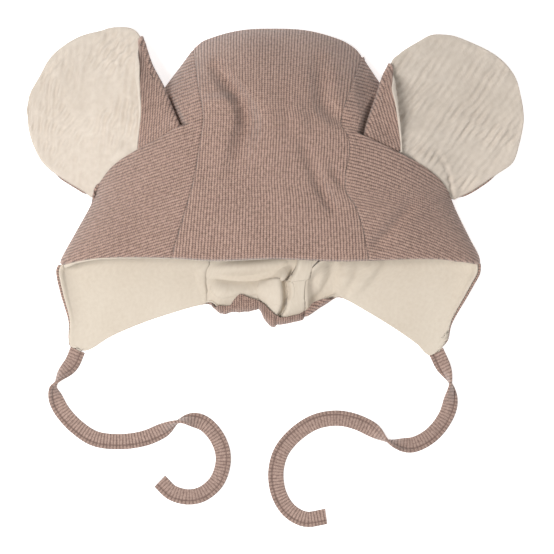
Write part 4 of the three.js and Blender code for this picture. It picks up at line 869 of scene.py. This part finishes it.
# %% Jersey lining and crinkled gauze
def plain_knit(name, dark, light, wale, fuzz_scale, depth):
    """Smooth jersey: wales too fine to count, a little cloudiness and fuzz."""
    material, tree, shader = new_material(name)
    across, along, uv = flat_coordinates(tree)
    wave = math_node(tree, "SINE", math_node(tree, "MULTIPLY", across, 2 * math.pi / wale))
    rows = math_node(tree, "SINE", math_node(tree, "MULTIPLY", along, 2 * math.pi / (wale * 0.8)))
    weave = math_node(tree, "MULTIPLY", math_node(tree, "ADD", wave, rows), 0.25)
    fuzz = noise_node(tree, uv, fuzz_scale, 4)
    cloud = noise_node(tree, uv, 30, 3)
    share = math_node(tree, "ADD", weighted_sum(tree, (fuzz, 0.45), (cloud, 0.45)), 0.05)
    values = {"Base Color": mix_colour(tree, share, dark, light), "Roughness": 0.9, "Sheen Weight": 0.15}
    dress(tree, shader, values, (weave, depth, 1), (fuzz, 0.1 * MM, 0.5))
    return material


jersey = plain_knit("jersey_lining", (0.49, 0.408, 0.318), (0.71, 0.643, 0.547), 0.7 * MM, 500, 0.03 * MM)
muslin = plain_knit("muslin", (0.43, 0.36, 0.29), (0.735, 0.657, 0.573), 0.9 * MM, 300, 0.04 * MM)
print("materials:", [m.name for m in (rib_knit, tie_rib, jersey, muslin)])

# %% [markdown]
# ## The middle strip
# One long strip of rib runs from the forehead over the crown to the nape, where elastic rolls it up.
# Its ribs run its whole length and lean with its seams. At the seams the cloth turns down into the
# stitching, and at the forehead edge it turns under.

# %% Middle strip
SEAM_ROUNDING = 1.1
SEAM_DEPTH = 0.35
EDGE_ROUNDING = 1.8
STRIP_FLAT_WIDTH = 96
STRAIGHT_RIBS = 0.65
RIB_SPREAD = 0.973
SOFT_WAVES = 0.35
BAND_WAVES = 0.16
ROLL_HEIGHTS = (1.5, 5)
CENTER_COLUMNS = 90


def row_steps(start, end, step):
    count = max(int(round(abs(end - start) / step)), 2)
    return np.linspace(start, end, count + 1)


def center_points(columns):
    """The strip's grid of points, the places of its columns, and the row at the crown."""
    shares = np.linspace(0, 1, columns + 1)
    shares = lerp(shares, 0.5 - 0.5 * np.cos(np.pi * shares), 0.25)
    front_rows = FRONT_ROWS - row_steps(0, FRONT_ROWS, 0.11)
    back_rows = np.concatenate([row_steps(0, 2, 0.08)[1:], row_steps(2, FRONT_ROWS, 0.16)[1:],
                                row_steps(FRONT_ROWS, BACK_ROWS, 0.12)[1:]])
    front, back = (place(row, share) for place, (share, row) in (
        (center_front, np.meshgrid(shares, front_rows)), (center_back, np.meshgrid(shares, back_rows))))
    return np.concatenate([front, back]), shares, len(front_rows) - 1


def arc_lengths(points, axis):
    steps = np.linalg.norm(np.diff(points, axis=axis), axis=-1)
    zero = np.zeros_like(np.take(steps, [0], axis=axis))
    return np.concatenate([zero, np.cumsum(steps, axis=axis)], axis=axis)


center, center_shares, crown_row = center_points(CENTER_COLUMNS)
normal = grid_normals(center)
center_x, center_y, center_z = np.moveaxis(center, -1, 0)
width = arc_lengths(center, 1)
seam_distance = np.minimum(width, width[:, -1:] - width)
length = arc_lengths(center, 0)
soft = ripple(center_x, center_y, 34, 3) * SOFT_WAVES * smooth(seam_distance, 0, 12)
sink = round_over(seam_distance, SEAM_ROUNDING) * SEAM_DEPTH + round_over(length, EDGE_ROUNDING) - soft
lower_part = (np.arange(len(center)) > crown_row)[:, None]
pinched = crease_relief(BAND_PINCHES, center_x, center_y)
band_waves = ripple(center_x, center_y, 4.5, 8, stretch=4, lean=math.pi / 2) * BAND_WAVES
sink = sink + (pinched - band_waves) * lower_part * smooth(center_z, *ROLL_HEIGHTS)
across_flat = lerp((center_shares - 0.5) * STRIP_FLAT_WIDTH, center_x * RIB_SPREAD, STRAIGHT_RIBS)
flat = np.stack([across_flat, length], -1)
strip = thicken(cloth_grid("center_panel_cloth", center - normal * sink[..., None], flat), OUTER_CLOTH)
finished(strip, "center_panel", rib_knit)

# %% [markdown]
# ## The lining of the middle strip
# A jersey strip of the same pattern lies inside. The elastic gathers its lower part, seen in the
# mouth, into a bulge, a flat pleat and ridges, which stand off the rib. At the forehead the lining
# peeks out a little past the rib on the left and lies behind it on the right.

# %% Lining of the middle strip
PEEK_LEFT, PEEK_RIGHT = 0.7, -0.6
PEEK_CHANGE = (-12, 30)
PEEK_FADE = 6


def peek(x, from_edge):
    """How far the lining stands out past the forehead edge."""
    return lerp(PEEK_LEFT, PEEK_RIGHT, smooth(x, *PEEK_CHANGE)) * (1 - smooth(from_edge, 0, PEEK_FADE))


gathered = lining_gathers(center_x, center_y, center_z) * lower_part
lining_sink = LINING_TOP + round_over(length, EDGE_ROUNDING) + gathered
lining_points = center - normal * lining_sink[..., None]
lining_points[..., 1] -= peek(center_x, length) * ~lower_part
lining_center = thicken(cloth_grid("lining_center_cloth", lining_points[:-1], flat[:-1]), LINING_CLOTH)
finished(lining_center, "lining_center", jersey)

# %% [markdown]
# ## The side panels
# A side panel starts at the seam with the middle strip, passes the slit of the ear, folds round the
# side of the hat and lies under it as the back of the side and the ear flap. It is made as three
# grids: the part before the slit, the part behind it under the ear, and the underside. Then they are
# sewn together where they meet. The slit's front edge is a lip that lies on the ear. The lining has
# the same grids and is pulled in at the slit's outer end, so that it stays behind the rib there.

# %% Side panels
LIP_ROUNDING = 1.4
CORNER_PULL = 2.6
CORNER_EASE = 0.8
SLIT_END = (0.975, 1)
LINING_SLIT_END = (0.84, 0.93)
# Height of the slit's lip over the sheet, by place along the slit, so that it lies on the ear
SLIT_LIP = [(0, 1.1), (0.4, 1.1), (0.46, 0.4), (0.53, 0.5), (0.62, 1.1), (0.86, 2.7), (1, 3)]
RIB_SLOPE = {"left": (0.33, 0.0005), "right": (0.2, 0.0034)}
RIB_SLANT_SCALE = 0.94
SIDE_COLUMNS = 60
UNDER_COLUMNS = 44


def in_slit(side, share, end):
    start = side["slit_start"]
    return rise_and_fall(share, (start - 0.075, start - 0.01), end)


def side_row_numbers():
    rear = row_steps(0, SLIT_ROW, 0.14)
    fore = SLIT_ROW + np.concatenate([row_steps(0, 0.3, 0.03), row_steps(0.3, 6, 0.11)[1:]])
    low = row_steps(FRONT_ROWS, BACK_ROWS, 0.13)[1:]
    return rear, fore, low


def rib_tilt(side, x, y):
    """Ribs of the side panels run across and droop towards the side."""
    seam = np.abs(edge_x(side["front_seam"], np.clip(y, FOREHEAD_Y, place_y(side["corner"]))))
    out = np.maximum(np.abs(x) - seam, -40)
    slope, bend = RIB_SLOPE[side["name"]]
    return RIB_SLANT_SCALE * (y + slope * out + bend * np.maximum(out, 0) ** 2)


def slit_corner(share, row):
    """The outer end of the slit, where the lining is pulled in behind the ear's corner."""
    return smooth(share, 0.7, 0.88) * (1 - smooth(np.abs(row - SLIT_ROW), 0.6, 2.6))


def side_sheets(side, lined):
    """Each sheet's points, how open the slit is there and how near the slit's outer end is."""
    rear_rows, fore_rows, low_rows = side_row_numbers()
    sheets = {}
    for key, rows in (("rear", rear_rows), ("fore", fore_rows)):
        share, row = np.meshgrid(np.linspace(0, 1, SIDE_COLUMNS + 1), rows)
        x, y = front_place(side, row, share)
        z = upper_height(x, y)
        open_part = in_slit(side, share, LINING_SLIT_END if lined else SLIT_END)
        near = np.clip(1 - (row - SLIT_ROW), 0, 1)
        if key == "rear":
            pressed = 1 - (1 - open_part) * np.clip(row - (SLIT_ROW - 1), 0, 1)
            z = lerp(z, under_ear(side, x, y), pressed)
        elif lined:
            z = lerp(z, under_ear(side, x, y), open_part * near)
        else:
            base, _ = to_ear(side, *front_place(side, np.full_like(row, SLIT_ROW), share))
            z = z + look_up(SLIT_LIP, base) * open_part * smooth(near, 0, 1)
        z = np.where(share == 1, FOLD_HEIGHT, z)
        sheets[key] = np.stack([x, y, z], -1), open_part, slit_corner(share, row)
    share, row = np.meshgrid(np.linspace(0, 1, UNDER_COLUMNS + 1),
                             np.concatenate([rear_rows, fore_rows[1:], low_rows]))
    sheets["under"] = side_back(side, row, share), 0, slit_corner(share, row)
    return sheets


for side in (LEFT, RIGHT):
    for lined in (False, True):
        parts = []
        for key, (points, open_part, corner) in side_sheets(side, lined).items():
            across = arc_lengths(points, 1)
            from_forehead = arc_lengths(points[::-1], 0)[::-1]
            x, y, z = np.moveaxis(points, -1, 0)
            flat = np.stack([rib_tilt(side, x, y), across], -1)
            sink = LINING_TOP * (1 - CORNER_EASE * corner) if lined else np.zeros(across.shape)
            if key == "fore":
                sink += round_over(from_forehead, EDGE_ROUNDING)
            if lined:
                pull = CORNER_PULL * corner
                points = points - np.stack([side["sign"] * pull, 0 * pull,
                                            pull * np.minimum(z / FOLD_HEIGHT, 1)], -1)
                if key == "fore":
                    points[..., 1] -= peek(x, from_forehead)
                if key == "under":
                    sink += lining_gathers(x, y, z)
            else:
                from_seam = across if key != "under" else across[:, -1:] - across
                sink += round_over(from_seam, SEAM_ROUNDING) * SEAM_DEPTH
                if key == "fore":
                    sink += round_over(arc_lengths(points, 0), LIP_ROUNDING) * open_part
                if key == "under":
                    sink += crease_relief(BAND_PINCHES, x, y) * smooth(z, *ROLL_HEIGHTS)
            parts.append(with_sink(cloth_grid(f"{key}_part", points, flat), sink))
        slot, material = ("jersey_lining", jersey) if lined else ("rib_knit", rib_knit)
        node = f"{'lining' if lined else 'side_panel'}_{side['name']}"
        piece = joined(f"{node}_cloth", parts)
        if side is RIGHT:
            turned(piece)
        thicken(sunk(piece), LINING_CLOTH if lined else OUTER_CLOTH)
        finished(piece, node, material)

# %% [markdown]
# ## The ears
# An ear is two layers sewn at their rim: crinkled gauze in front and rib behind. Its inner part is
# folded forward, so the rib back shows there as a triangle with a cream lip, where the gauze rolls
# over its border. Both layers come from one net with the flat part, the fold and the folded part as
# its columns. The gauze has narrow creases that all run one way, as washed double gauze has, and the
# single creases go through both layers. At the lower rim the rib shows as a thin line.

# %% Net of an ear
UNDER_LIP = 1.5
FOLD_TIP = 0.6


def smooth_curve(table, count=400):
    """Points at equal steps on the smooth curve through the rows of a table."""
    p = np.array(table, float)
    padded = np.vstack([p[:1], p, p[-1:]])
    t = np.linspace(0, len(p) - 1, count * 4)
    i = np.minimum(t.astype(int), len(p) - 2)
    w = (t - i)[:, None]
    p0, p1, p2, p3 = (padded[i + k] for k in range(4))
    v0, v1 = (p2 - p0) / 2, (p3 - p1) / 2
    points = (2 * p1 - 2 * p2 + v0 + v1) * w ** 3 + (-3 * p1 + 3 * p2 - 2 * v0 - v1) * w ** 2 + v0 * w + p1
    travelled = arc_lengths(points, 0)
    share = travelled / travelled[-1]
    return lambda u: np.stack([np.interp(u, share, points[:, k]) for k in (0, 1)], -1)


def ear_net(side, flat_columns, fold_columns, folded_columns, rows):
    """Points of the ear's middle surface, with the flat part, the fold and the folded part as its columns.
    """
    curves = {name: smooth_curve(table) for name, table in side["ear"].items()}

    def slit_place(base):
        share = lerp(side["slit_start"], 1, np.clip(base, 0, 1))
        x, y = front_place(side, np.full(np.shape(share), float(SLIT_ROW)), share)
        b, r = to_ear(side, x, y)
        return np.stack([b, r - UNDER_LIP * (1 - smooth(b, 0.86, 0.98)) / EAR_LENGTH], -1)

    t = np.linspace(0, 1, rows + 1)
    tip = smooth(t, 0.96, 1)
    radius = lerp(PLEAT_RADIUS, EAR_FOLD_RADIUS, smooth(t, 0, 0.4)) * lerp(1, FOLD_TIP, smooth(t, 0.7, 0.96))
    radius *= lerp(1, 0.4, tip)
    fold = curves["fold"](t)
    fold[0] = slit_place(fold[0, 0])
    reach = (radius + EAR_HALF * lerp(1, 0.35, tip)) / side["slit_length"]
    center_line = fold + np.stack([reach, np.zeros_like(t)], -1)
    outer = curves["outer"](t)
    outer[0] = slit_place(side["ear"]["outer"][0][0] - 0.01)
    border = curves["border"](t)
    border[0] = slit_place(side["ear"]["border"][0][0])
    top = smooth_curve(side["ear"]["top"][:-1] + [tuple(center_line[-1])])
    inner_base = center_line[0]

    def base_line(s):
        return slit_place(lerp(outer[0, 0], inner_base[0], s))

    def flat_points(s):
        line = outer[:, None] * (1 - s)[None, :, None] + center_line[:, None] * s[None, :, None]
        top_bend = top(s) - top(0.0) * (1 - s)[:, None] - top(1.0) * s[:, None]
        base_bend = base_line(s) - base_line(0.0) * (1 - s)[:, None] - base_line(1.0) * s[:, None]
        return line + top_bend[None] * t[:, None, None] + base_bend[None] * (1 - t)[:, None, None]

    def folded_points(s):
        line = center_line[:, None] * (1 - s)[None, :, None] + border[:, None] * s[None, :, None]
        straight = lerp(inner_base[1], border[0, 1], s)
        bend = slit_place(lerp(inner_base[0], border[0, 0], s))[:, 1] - straight
        line[..., 1] += bend[None] * (1 - t)[:, None]
        return line

    def lifted(local, lift):
        x, y = from_ear(side, local[..., 0], local[..., 1])
        return np.stack([x, y, ear_height(side, x, y) + lift], -1)

    flat_part = lifted(flat_points(np.linspace(0, 1, flat_columns + 1)), 0)
    angle = np.pi * np.arange(1, fold_columns) / fold_columns
    pivot = lifted(center_line, 0)
    turn_base = center_line[:, None, 0] - radius[:, None] * np.sin(angle) / side["slit_length"]
    x, y = from_ear(side, turn_base, np.broadcast_to(center_line[:, None, 1], turn_base.shape))
    z = pivot[:, None, 2] + radius[:, None] * (1 - np.cos(angle))
    turn_part = np.stack([x, y, z], -1)
    s = np.linspace(0, 1, folded_columns + 1)
    rise = FOLD_RISE * rise_and_fall(t, (0.1, 0.45), (0.75, 1))[:, None] * s
    folded_part = lifted(folded_points(s), 2 * radius[:, None] + rise)
    return np.concatenate([flat_part, turn_part, folded_part], axis=1)


# %% Ears
EAR_COLUMNS = (108, 10, 52)
EAR_ROWS = 126
EAR_CLOTH = 1.0
EAR_WALL = 0.85
EAR_GAP_HALF = 0.15
EAR_RIM_ROUNDING = 2.2
EAR_PINCH = 0.85
BORDER_FLAT = 3
RIM_ROLL = 1.0
ROLL_STEPS = 9
ROLL_TURN = math.radians(215)
REAR_RIM = 0.8
CRINKLE_DEPTH = 0.8
CRINKLE_SPACING = 4.1
# Lean of the gauze's creases, how much it varies, and a seed
CRINKLE_RUN = {"left": (math.radians(76), 0.3, 11), "right": (math.radians(47), 0.15, 12)}
RIB_OF_EAR = {"left": (1.135, -0.059), "right": (0.96, 0.28)}
# Single creases of both layers: across, along, half width in mm, height in mm
EAR_CREASES = [
    [(0.868, 0.258, 1.6, -1.4), (0.861, 0.299, 1.9, -1.7), (0.858, 0.333, 1.7, -1.2),
     (0.842, 0.385, 2.2, -0.7), (0.808, 0.44, 2.5, -0.5), (0.77, 0.491, 2.5, 0)],
    [(-0.957, 0.461, 1, 0), (-0.93, 0.44, 1.2, -0.6), (-0.912, 0.429, 1.1, -0.2), (-0.9, 0.42, 1.2, -0.7),
     (-0.875, 0.402, 1, 0)],
    [(-1.02, 0.88, 4, 0), (-1.06, 0.82, 4, -0.7), (-1.1, 0.735, 4, -0.7), (-1.12, 0.66, 4, 0)],
]


def creased(x, y, size, seed, waves, lean, spread):
    """Waves whose crests all run near one lean, so they read as long narrow creases."""
    rng = np.random.default_rng(seed)
    total = np.zeros(x.shape)
    for _ in range(waves):
        turn = lean + math.pi / 2 + rng.normal(0, spread)
        length = size * rng.uniform(0.8, 1.35)
        phase = rng.uniform(0, 2 * math.pi)
        total += np.cos((x * math.cos(turn) + y * math.sin(turn)) * 2 * math.pi / length + phase)
    return total / math.sqrt(waves)


def crinkle(side, x, y):
    """The relief of washed gauze: narrow creases between soft puckers."""
    lean, spread, seed = CRINKLE_RUN[side["name"]]
    fine = np.tanh(1.3 * creased(x, y, CRINKLE_SPACING, seed, 9, lean, spread))
    broad = creased(x, y, 12, seed + 2, 6, lean, 0.4)
    patches = 0.65 + 0.35 * np.clip(ripple(x, y, 30, seed + 4), -1, 1)
    return np.maximum(CRINKLE_DEPTH * (0.4 * broad + fine * patches), -CRINKLE_DEPTH)


def layer_lift(rim):
    """How far a layer lies from the middle of the ear: the two are pinched together at the rim."""
    pinch = np.clip(round_over(rim, EAR_RIM_ROUNDING) / EAR_RIM_ROUNDING, 0, 1)
    return EAR_GAP_HALF + EAR_CLOTH * (1 - pinch * EAR_PINCH)


def level_way(start, end):
    """Directions from start to end, level with the surface."""
    way = end - start
    way[:, 2] = 0
    return way / np.linalg.norm(way, axis=1, keepdims=True)


def front_layer(net, facing, u, v, relief):
    """The gauze face. It rolls over the border of the folded part and shows there as a cream lip."""
    to_border = u[:, -1:] - u
    rim = np.minimum(np.minimum(u, to_border + BORDER_FLAT), v[-1:] - v)
    lift = lerp(layer_lift(rim) + relief, RIM_ROLL, smooth(-to_border, -BORDER_FLAT, 0))
    points = net + facing * lift[..., None]
    t = np.linspace(0, 1, EAR_ROWS + 1)
    size = RIM_ROLL * (1 + 0.6 * smooth(t, 0.5, 0.75)) * (1 - 0.75 * smooth(t, 0.82, 1))
    turn = np.linspace(0, 1, ROLL_STEPS + 1)[1:] * ROLL_TURN
    away, down = level_way(net[:, -3], net[:, -1])[:, None], facing[:, -1:]
    bend = np.sin(turn)[None, :, None] * away + (np.cos(turn)[None, :, None] - 1) * down
    roll = net[:, -1:] + size[:, None, None] * bend + RIM_ROLL * down
    flat = np.stack([np.concatenate([u, u[:, -1:] + RIM_ROLL * turn], axis=1),
                     np.concatenate([v, np.repeat(v[:, -1:], ROLL_STEPS, axis=1)], axis=1)], -1)
    return np.concatenate([points, roll], axis=1), flat


def back_layer(side, net, facing, u, v, rim):
    """The rib back. It stands out a little past the gauze at the lower rim."""
    points = net - facing * layer_lift(rim)[..., None]
    t = np.linspace(0, 1, EAR_ROWS + 1)
    shown = REAR_RIM * smooth(t, 0.04, 0.1) * (1 - smooth(t, 0.3, 0.4))
    out = level_way(net[:, 3], net[:, 0])[:, None]
    points += out * (shown[:, None] * (1 - smooth(u, 0, 4)))[..., None]
    run_x, run_y = RIB_OF_EAR[side["name"]]
    return points, np.stack([net[..., 0] * run_x + net[..., 1] * run_y, v], -1)


for side in (LEFT, RIGHT):
    net = ear_net(side, *EAR_COLUMNS, EAR_ROWS)
    facing = -side["sign"] * grid_normals(net)
    u, v = arc_lengths(net, 1), arc_lengths(net, 0)
    rim = np.minimum(np.minimum(u, u[:, -1:] - u), v[-1:] - v)
    relief = crinkle(side, net[..., 0], net[..., 1]) * smooth(rim, 0, 5) * smooth(v, 1, 9)
    single = crease_relief(EAR_CREASES, net[..., 0], net[..., 1]) * smooth(u, 0, 4)
    net = net + facing * single[..., None]
    layers = {"front": (*front_layer(net, facing, u, v, relief), "muslin", muslin),
              "back": (*back_layer(side, net, facing, u, v, rim), "rib_knit", rib_knit)}
    for face, (points, flat, slot, material) in layers.items():
        node = f"ear_{side['name']}_{face}"
        piece = cloth_grid(f"{node}_cloth", points, flat)
        if (side is RIGHT) == (face == "front"):
            turned(piece)
        thicken(piece, EAR_WALL)
        finished(piece, node, material)

# %% [markdown]
# ## The ties
# A tie is a flat band of rib, folded and stitched along one edge. It leaves the tip of the flap, lies
# on the surface in loose curves and turns over twice. The band is a tube: a grid wrapped round its
# section, with its cross ribs in the mesh.

# %% Ties
TIE_WIDTH = 8.6
TIE_THICKNESS = 2
TIE_START_GAP = 0.1
TIE_RIB = 1.75
TIE_RIB_DEPTH = 0.17
TIE_FOLDED_EDGE = (TIE_WIDTH / 2 - 2.6, TIE_WIDTH / 2 - 2.1)
TIE_SEAM_WIDTH = 0.45
TIE_SEAM_DEPTH = 0.55
SECTION_POINTS = 72
TIE_ROWS = 570
# Runs of the ties from the tips of the flaps, in mm, and half turns of the band by share of its length
LEFT["route"] = [
    (0, 0), (-3.4, -7.7), (-9.3, -14.3), (-11.9, -18.2), (-13.3, -20.9), (-12.2, -26.4), (-9.1, -33),
    (-1.6, -41.6), (9.3, -48.8), (23.6, -50.5), (36.8, -48.6), (46.2, -44.6), (55, -39.4),
    (61, -38.3), (69, -40.3), (75.9, -47.2), (79.7, -56.4), (79.5, -64.5), (76, -72.9), (68.2, -79.4),
    (60.2, -80.9), (51.7, -78.5), (45, -72.2),
]
RIGHT["route"] = [
    (0, 0), (2.9, -6.2), (7.8, -17.2), (8.2, -25.9), (5.9, -35.1), (-1.9, -45.7), (-12.3, -51.5),
    (-20.9, -51.2), (-26.1, -49.6), (-36, -42.7), (-45.8, -38.4), (-55.5, -37), (-66.7, -39.2),
    (-77.6, -46.3), (-85.2, -55.8), (-88, -67.4), (-86.1, -79.2), (-80.4, -88), (-71.8, -92.5),
    (-60.3, -91),
]
LEFT["twist"] = [(0, 0), (0.04, 0.02), (0.11, 0.5), (0.18, 0.98), (0.25, 1), (0.48, 1), (0.558, 1.5),
                 (0.63, 2), (1, 2)]
RIGHT["twist"] = [(0, 0), (0.03, 0.02), (0.095, 0.5), (0.165, 0.98), (0.22, 1), (0.31, 1.05),
                  (0.381, 1.5), (0.45, 1.98), (0.52, 2), (1, 2)]


def loose_curve(route, steps=60):
    """A smooth curve through the points of a route, whose speed follows their spacing."""
    p = np.array(route, float)
    p = np.vstack([2 * p[0] - p[1], p, 2 * p[-1] - p[-2]])
    pieces = []
    for a, b, c, d in zip(p[:-3], p[1:-2], p[2:-1], p[3:]):
        t0, t1, t2 = (math.sqrt(np.linalg.norm(q - r)) for q, r in ((b, a), (c, b), (d, c)))
        start = ((b - a) / t0 - (c - a) / (t0 + t1) + (c - b) / t1) * t1
        end = ((c - b) / t1 - (d - b) / (t1 + t2) + (d - c) / t2) * t1
        w = np.linspace(0, 1, steps, endpoint=False)[:, None]
        pieces.append(b + start * w + (-3 * b + 3 * c - 2 * start - end) * w ** 2
                      + (2 * b - 2 * c + start + end) * w ** 3)
    pieces.append(p[-2][None])
    return np.vstack(pieces)


def band_section(count):
    """A flat rounded section: width and thickness offsets round the band, all points apart."""
    half_w, half_t = TIE_WIDTH / 2, TIE_THICKNESS / 2
    angle = np.linspace(0, 2 * np.pi, count, endpoint=False) + np.pi / count
    power = 0.42
    w = half_w * np.sign(np.cos(angle)) * np.abs(np.cos(angle)) ** power
    t = half_t * np.sign(np.sin(angle)) * np.abs(np.sin(angle)) ** (power + 0.1)
    return w, t


def tie_axes(side):
    """Rows of a tie: their place along it, their middles, their directions across and through."""
    seat = np.array([place_x(side["tie"][0]), place_y(side["tie"][1])])
    line = loose_curve(side["route"]) + seat
    travelled = arc_lengths(line, 0)
    at = np.linspace(TIE_START_GAP, travelled[-1], TIE_ROWS + 1)
    middle = np.stack([np.interp(at, travelled, line[:, k]) for k in (0, 1)], -1)
    forward = np.gradient(middle, axis=0)
    forward /= np.linalg.norm(forward, axis=1, keepdims=True)
    level = np.zeros(len(at))
    sideways = np.stack([-forward[:, 1], forward[:, 0], level], -1)
    roll = np.pi * look_up(side["twist"], at / travelled[-1])
    wide = sideways * np.cos(roll)[:, None] + np.array([0, 0, 1]) * np.sin(roll)[:, None]
    return at, middle, wide, np.cross(np.column_stack([forward, level]), wide)


def tie_relief(at, across, to_seam):
    """How the cross ribs swell the band and the stitched line draws it in."""
    folded_edge = smooth(to_seam, *TIE_FOLDED_EDGE)
    rib_wave = np.abs(np.sin(np.pi * at / TIE_RIB))[:, None] - 0.6
    inner_face = np.clip(1 - (np.abs(across) / (TIE_WIDTH / 2)) ** 8, 0, 1)
    swell = TIE_RIB_DEPTH * rib_wave * (inner_face * (1 - 0.8 * folded_edge))[None]
    return swell - TIE_SEAM_DEPTH * np.exp(-((to_seam - TIE_SEAM) / TIE_SEAM_WIDTH) ** 2)[None]


section_wide, section_thick = band_section(SECTION_POINTS)
for side in (LEFT, RIGHT):
    at, middle, wide, thick = tie_axes(side)
    to_seam = -side["sign"] * section_wide
    through = section_thick[None] + np.sign(section_thick)[None] * tie_relief(at, section_wide, to_seam)
    offset = wide[:, None] * section_wide[None, :, None] + thick[:, None] * through[..., None]
    lowest = offset[..., 2].min(axis=1)
    offset[..., 2] -= lowest[:, None]
    ring = np.concatenate([middle, np.zeros((len(at), 1))], axis=1)[:, None] + offset
    closed_ring = np.concatenate([ring, ring[:, :1]], axis=1)
    around = np.concatenate([to_seam, to_seam[:1]])
    flat = np.stack([np.broadcast_to(at[:, None], closed_ring.shape[:2]),
                     np.broadcast_to(around[None], closed_ring.shape[:2])], -1)
    band = cloth_grid(f"tie_{side['name']}_band", closed_ring, flat)
    select_only(band)
    bpy.ops.object.mode_set(mode="EDIT")
    bpy.ops.mesh.select_all(action="SELECT")
    bpy.ops.mesh.remove_doubles(threshold=0.001 * MM)
    bpy.ops.mesh.select_all(action="DESELECT")
    bpy.ops.mesh.select_mode(type="EDGE")
    bpy.ops.mesh.select_non_manifold(extend=False, use_wire=False, use_multi_face=False,
                                     use_non_contiguous=False, use_verts=False)
    bpy.ops.mesh.edge_face_add()
    bpy.ops.mesh.select_all(action="SELECT")
    bpy.ops.mesh.normals_make_consistent(inside=False)
    bpy.ops.object.mode_set(mode="OBJECT")
    bpy.ops.object.shade_smooth()
    finished(band, f"tie_{side['name']}", tie_rib)
    print(band.name, "length", round(at[-1], 1), "mm")

# %% [markdown]
# ## Floor and light
# A plain pale floor that glows a little. The main soft light comes from the left and rakes over the
# puckers of the gauze, and a weak one from the mouth's side lifts the shade of the forehead edge.

# %% Floor
bpy.ops.mesh.primitive_plane_add(size=6, location=(0, 0, -0.2 * MM))
floor = bpy.context.object
floor.name = "floor"
floor_material, floor_tree, floor_shader = new_material("pale_floor")
set_inputs(floor_tree, floor_shader, {"Base Color": (0.9, 0.9, 0.9, 1), "Roughness": 0.9,
                                      "Emission Color": (1, 1, 1, 1), "Emission Strength": 0.7})
floor.data.materials.append(floor_material)


# %% Lights
def soft_light(name, location, size, power):
    """A square light that looks at the origin."""
    bpy.ops.object.light_add(type="AREA", location=location)
    light = bpy.context.object
    light.name = name
    light.data.size = size
    light.data.energy = power
    x, y, z = location
    light.rotation_euler = (math.acos(z / math.hypot(x, y, z)), 0, math.atan2(-y, -x) - math.pi / 2)


soft_light("key_light", (-0.55, -0.14, 1.3), 0.55, 18)
soft_light("fill_light", (0.3, -0.9, 1.1), 1.2, 3)
world = bpy.data.worlds.new("studio")
bpy.context.scene.world = world
world.use_nodes = True
background = world.node_tree.nodes["Background"]
background.inputs["Color"].default_value = (1, 1, 1, 1)
background.inputs["Strength"].default_value = 0.4
bpy.context.scene.view_settings.view_transform = "Standard"
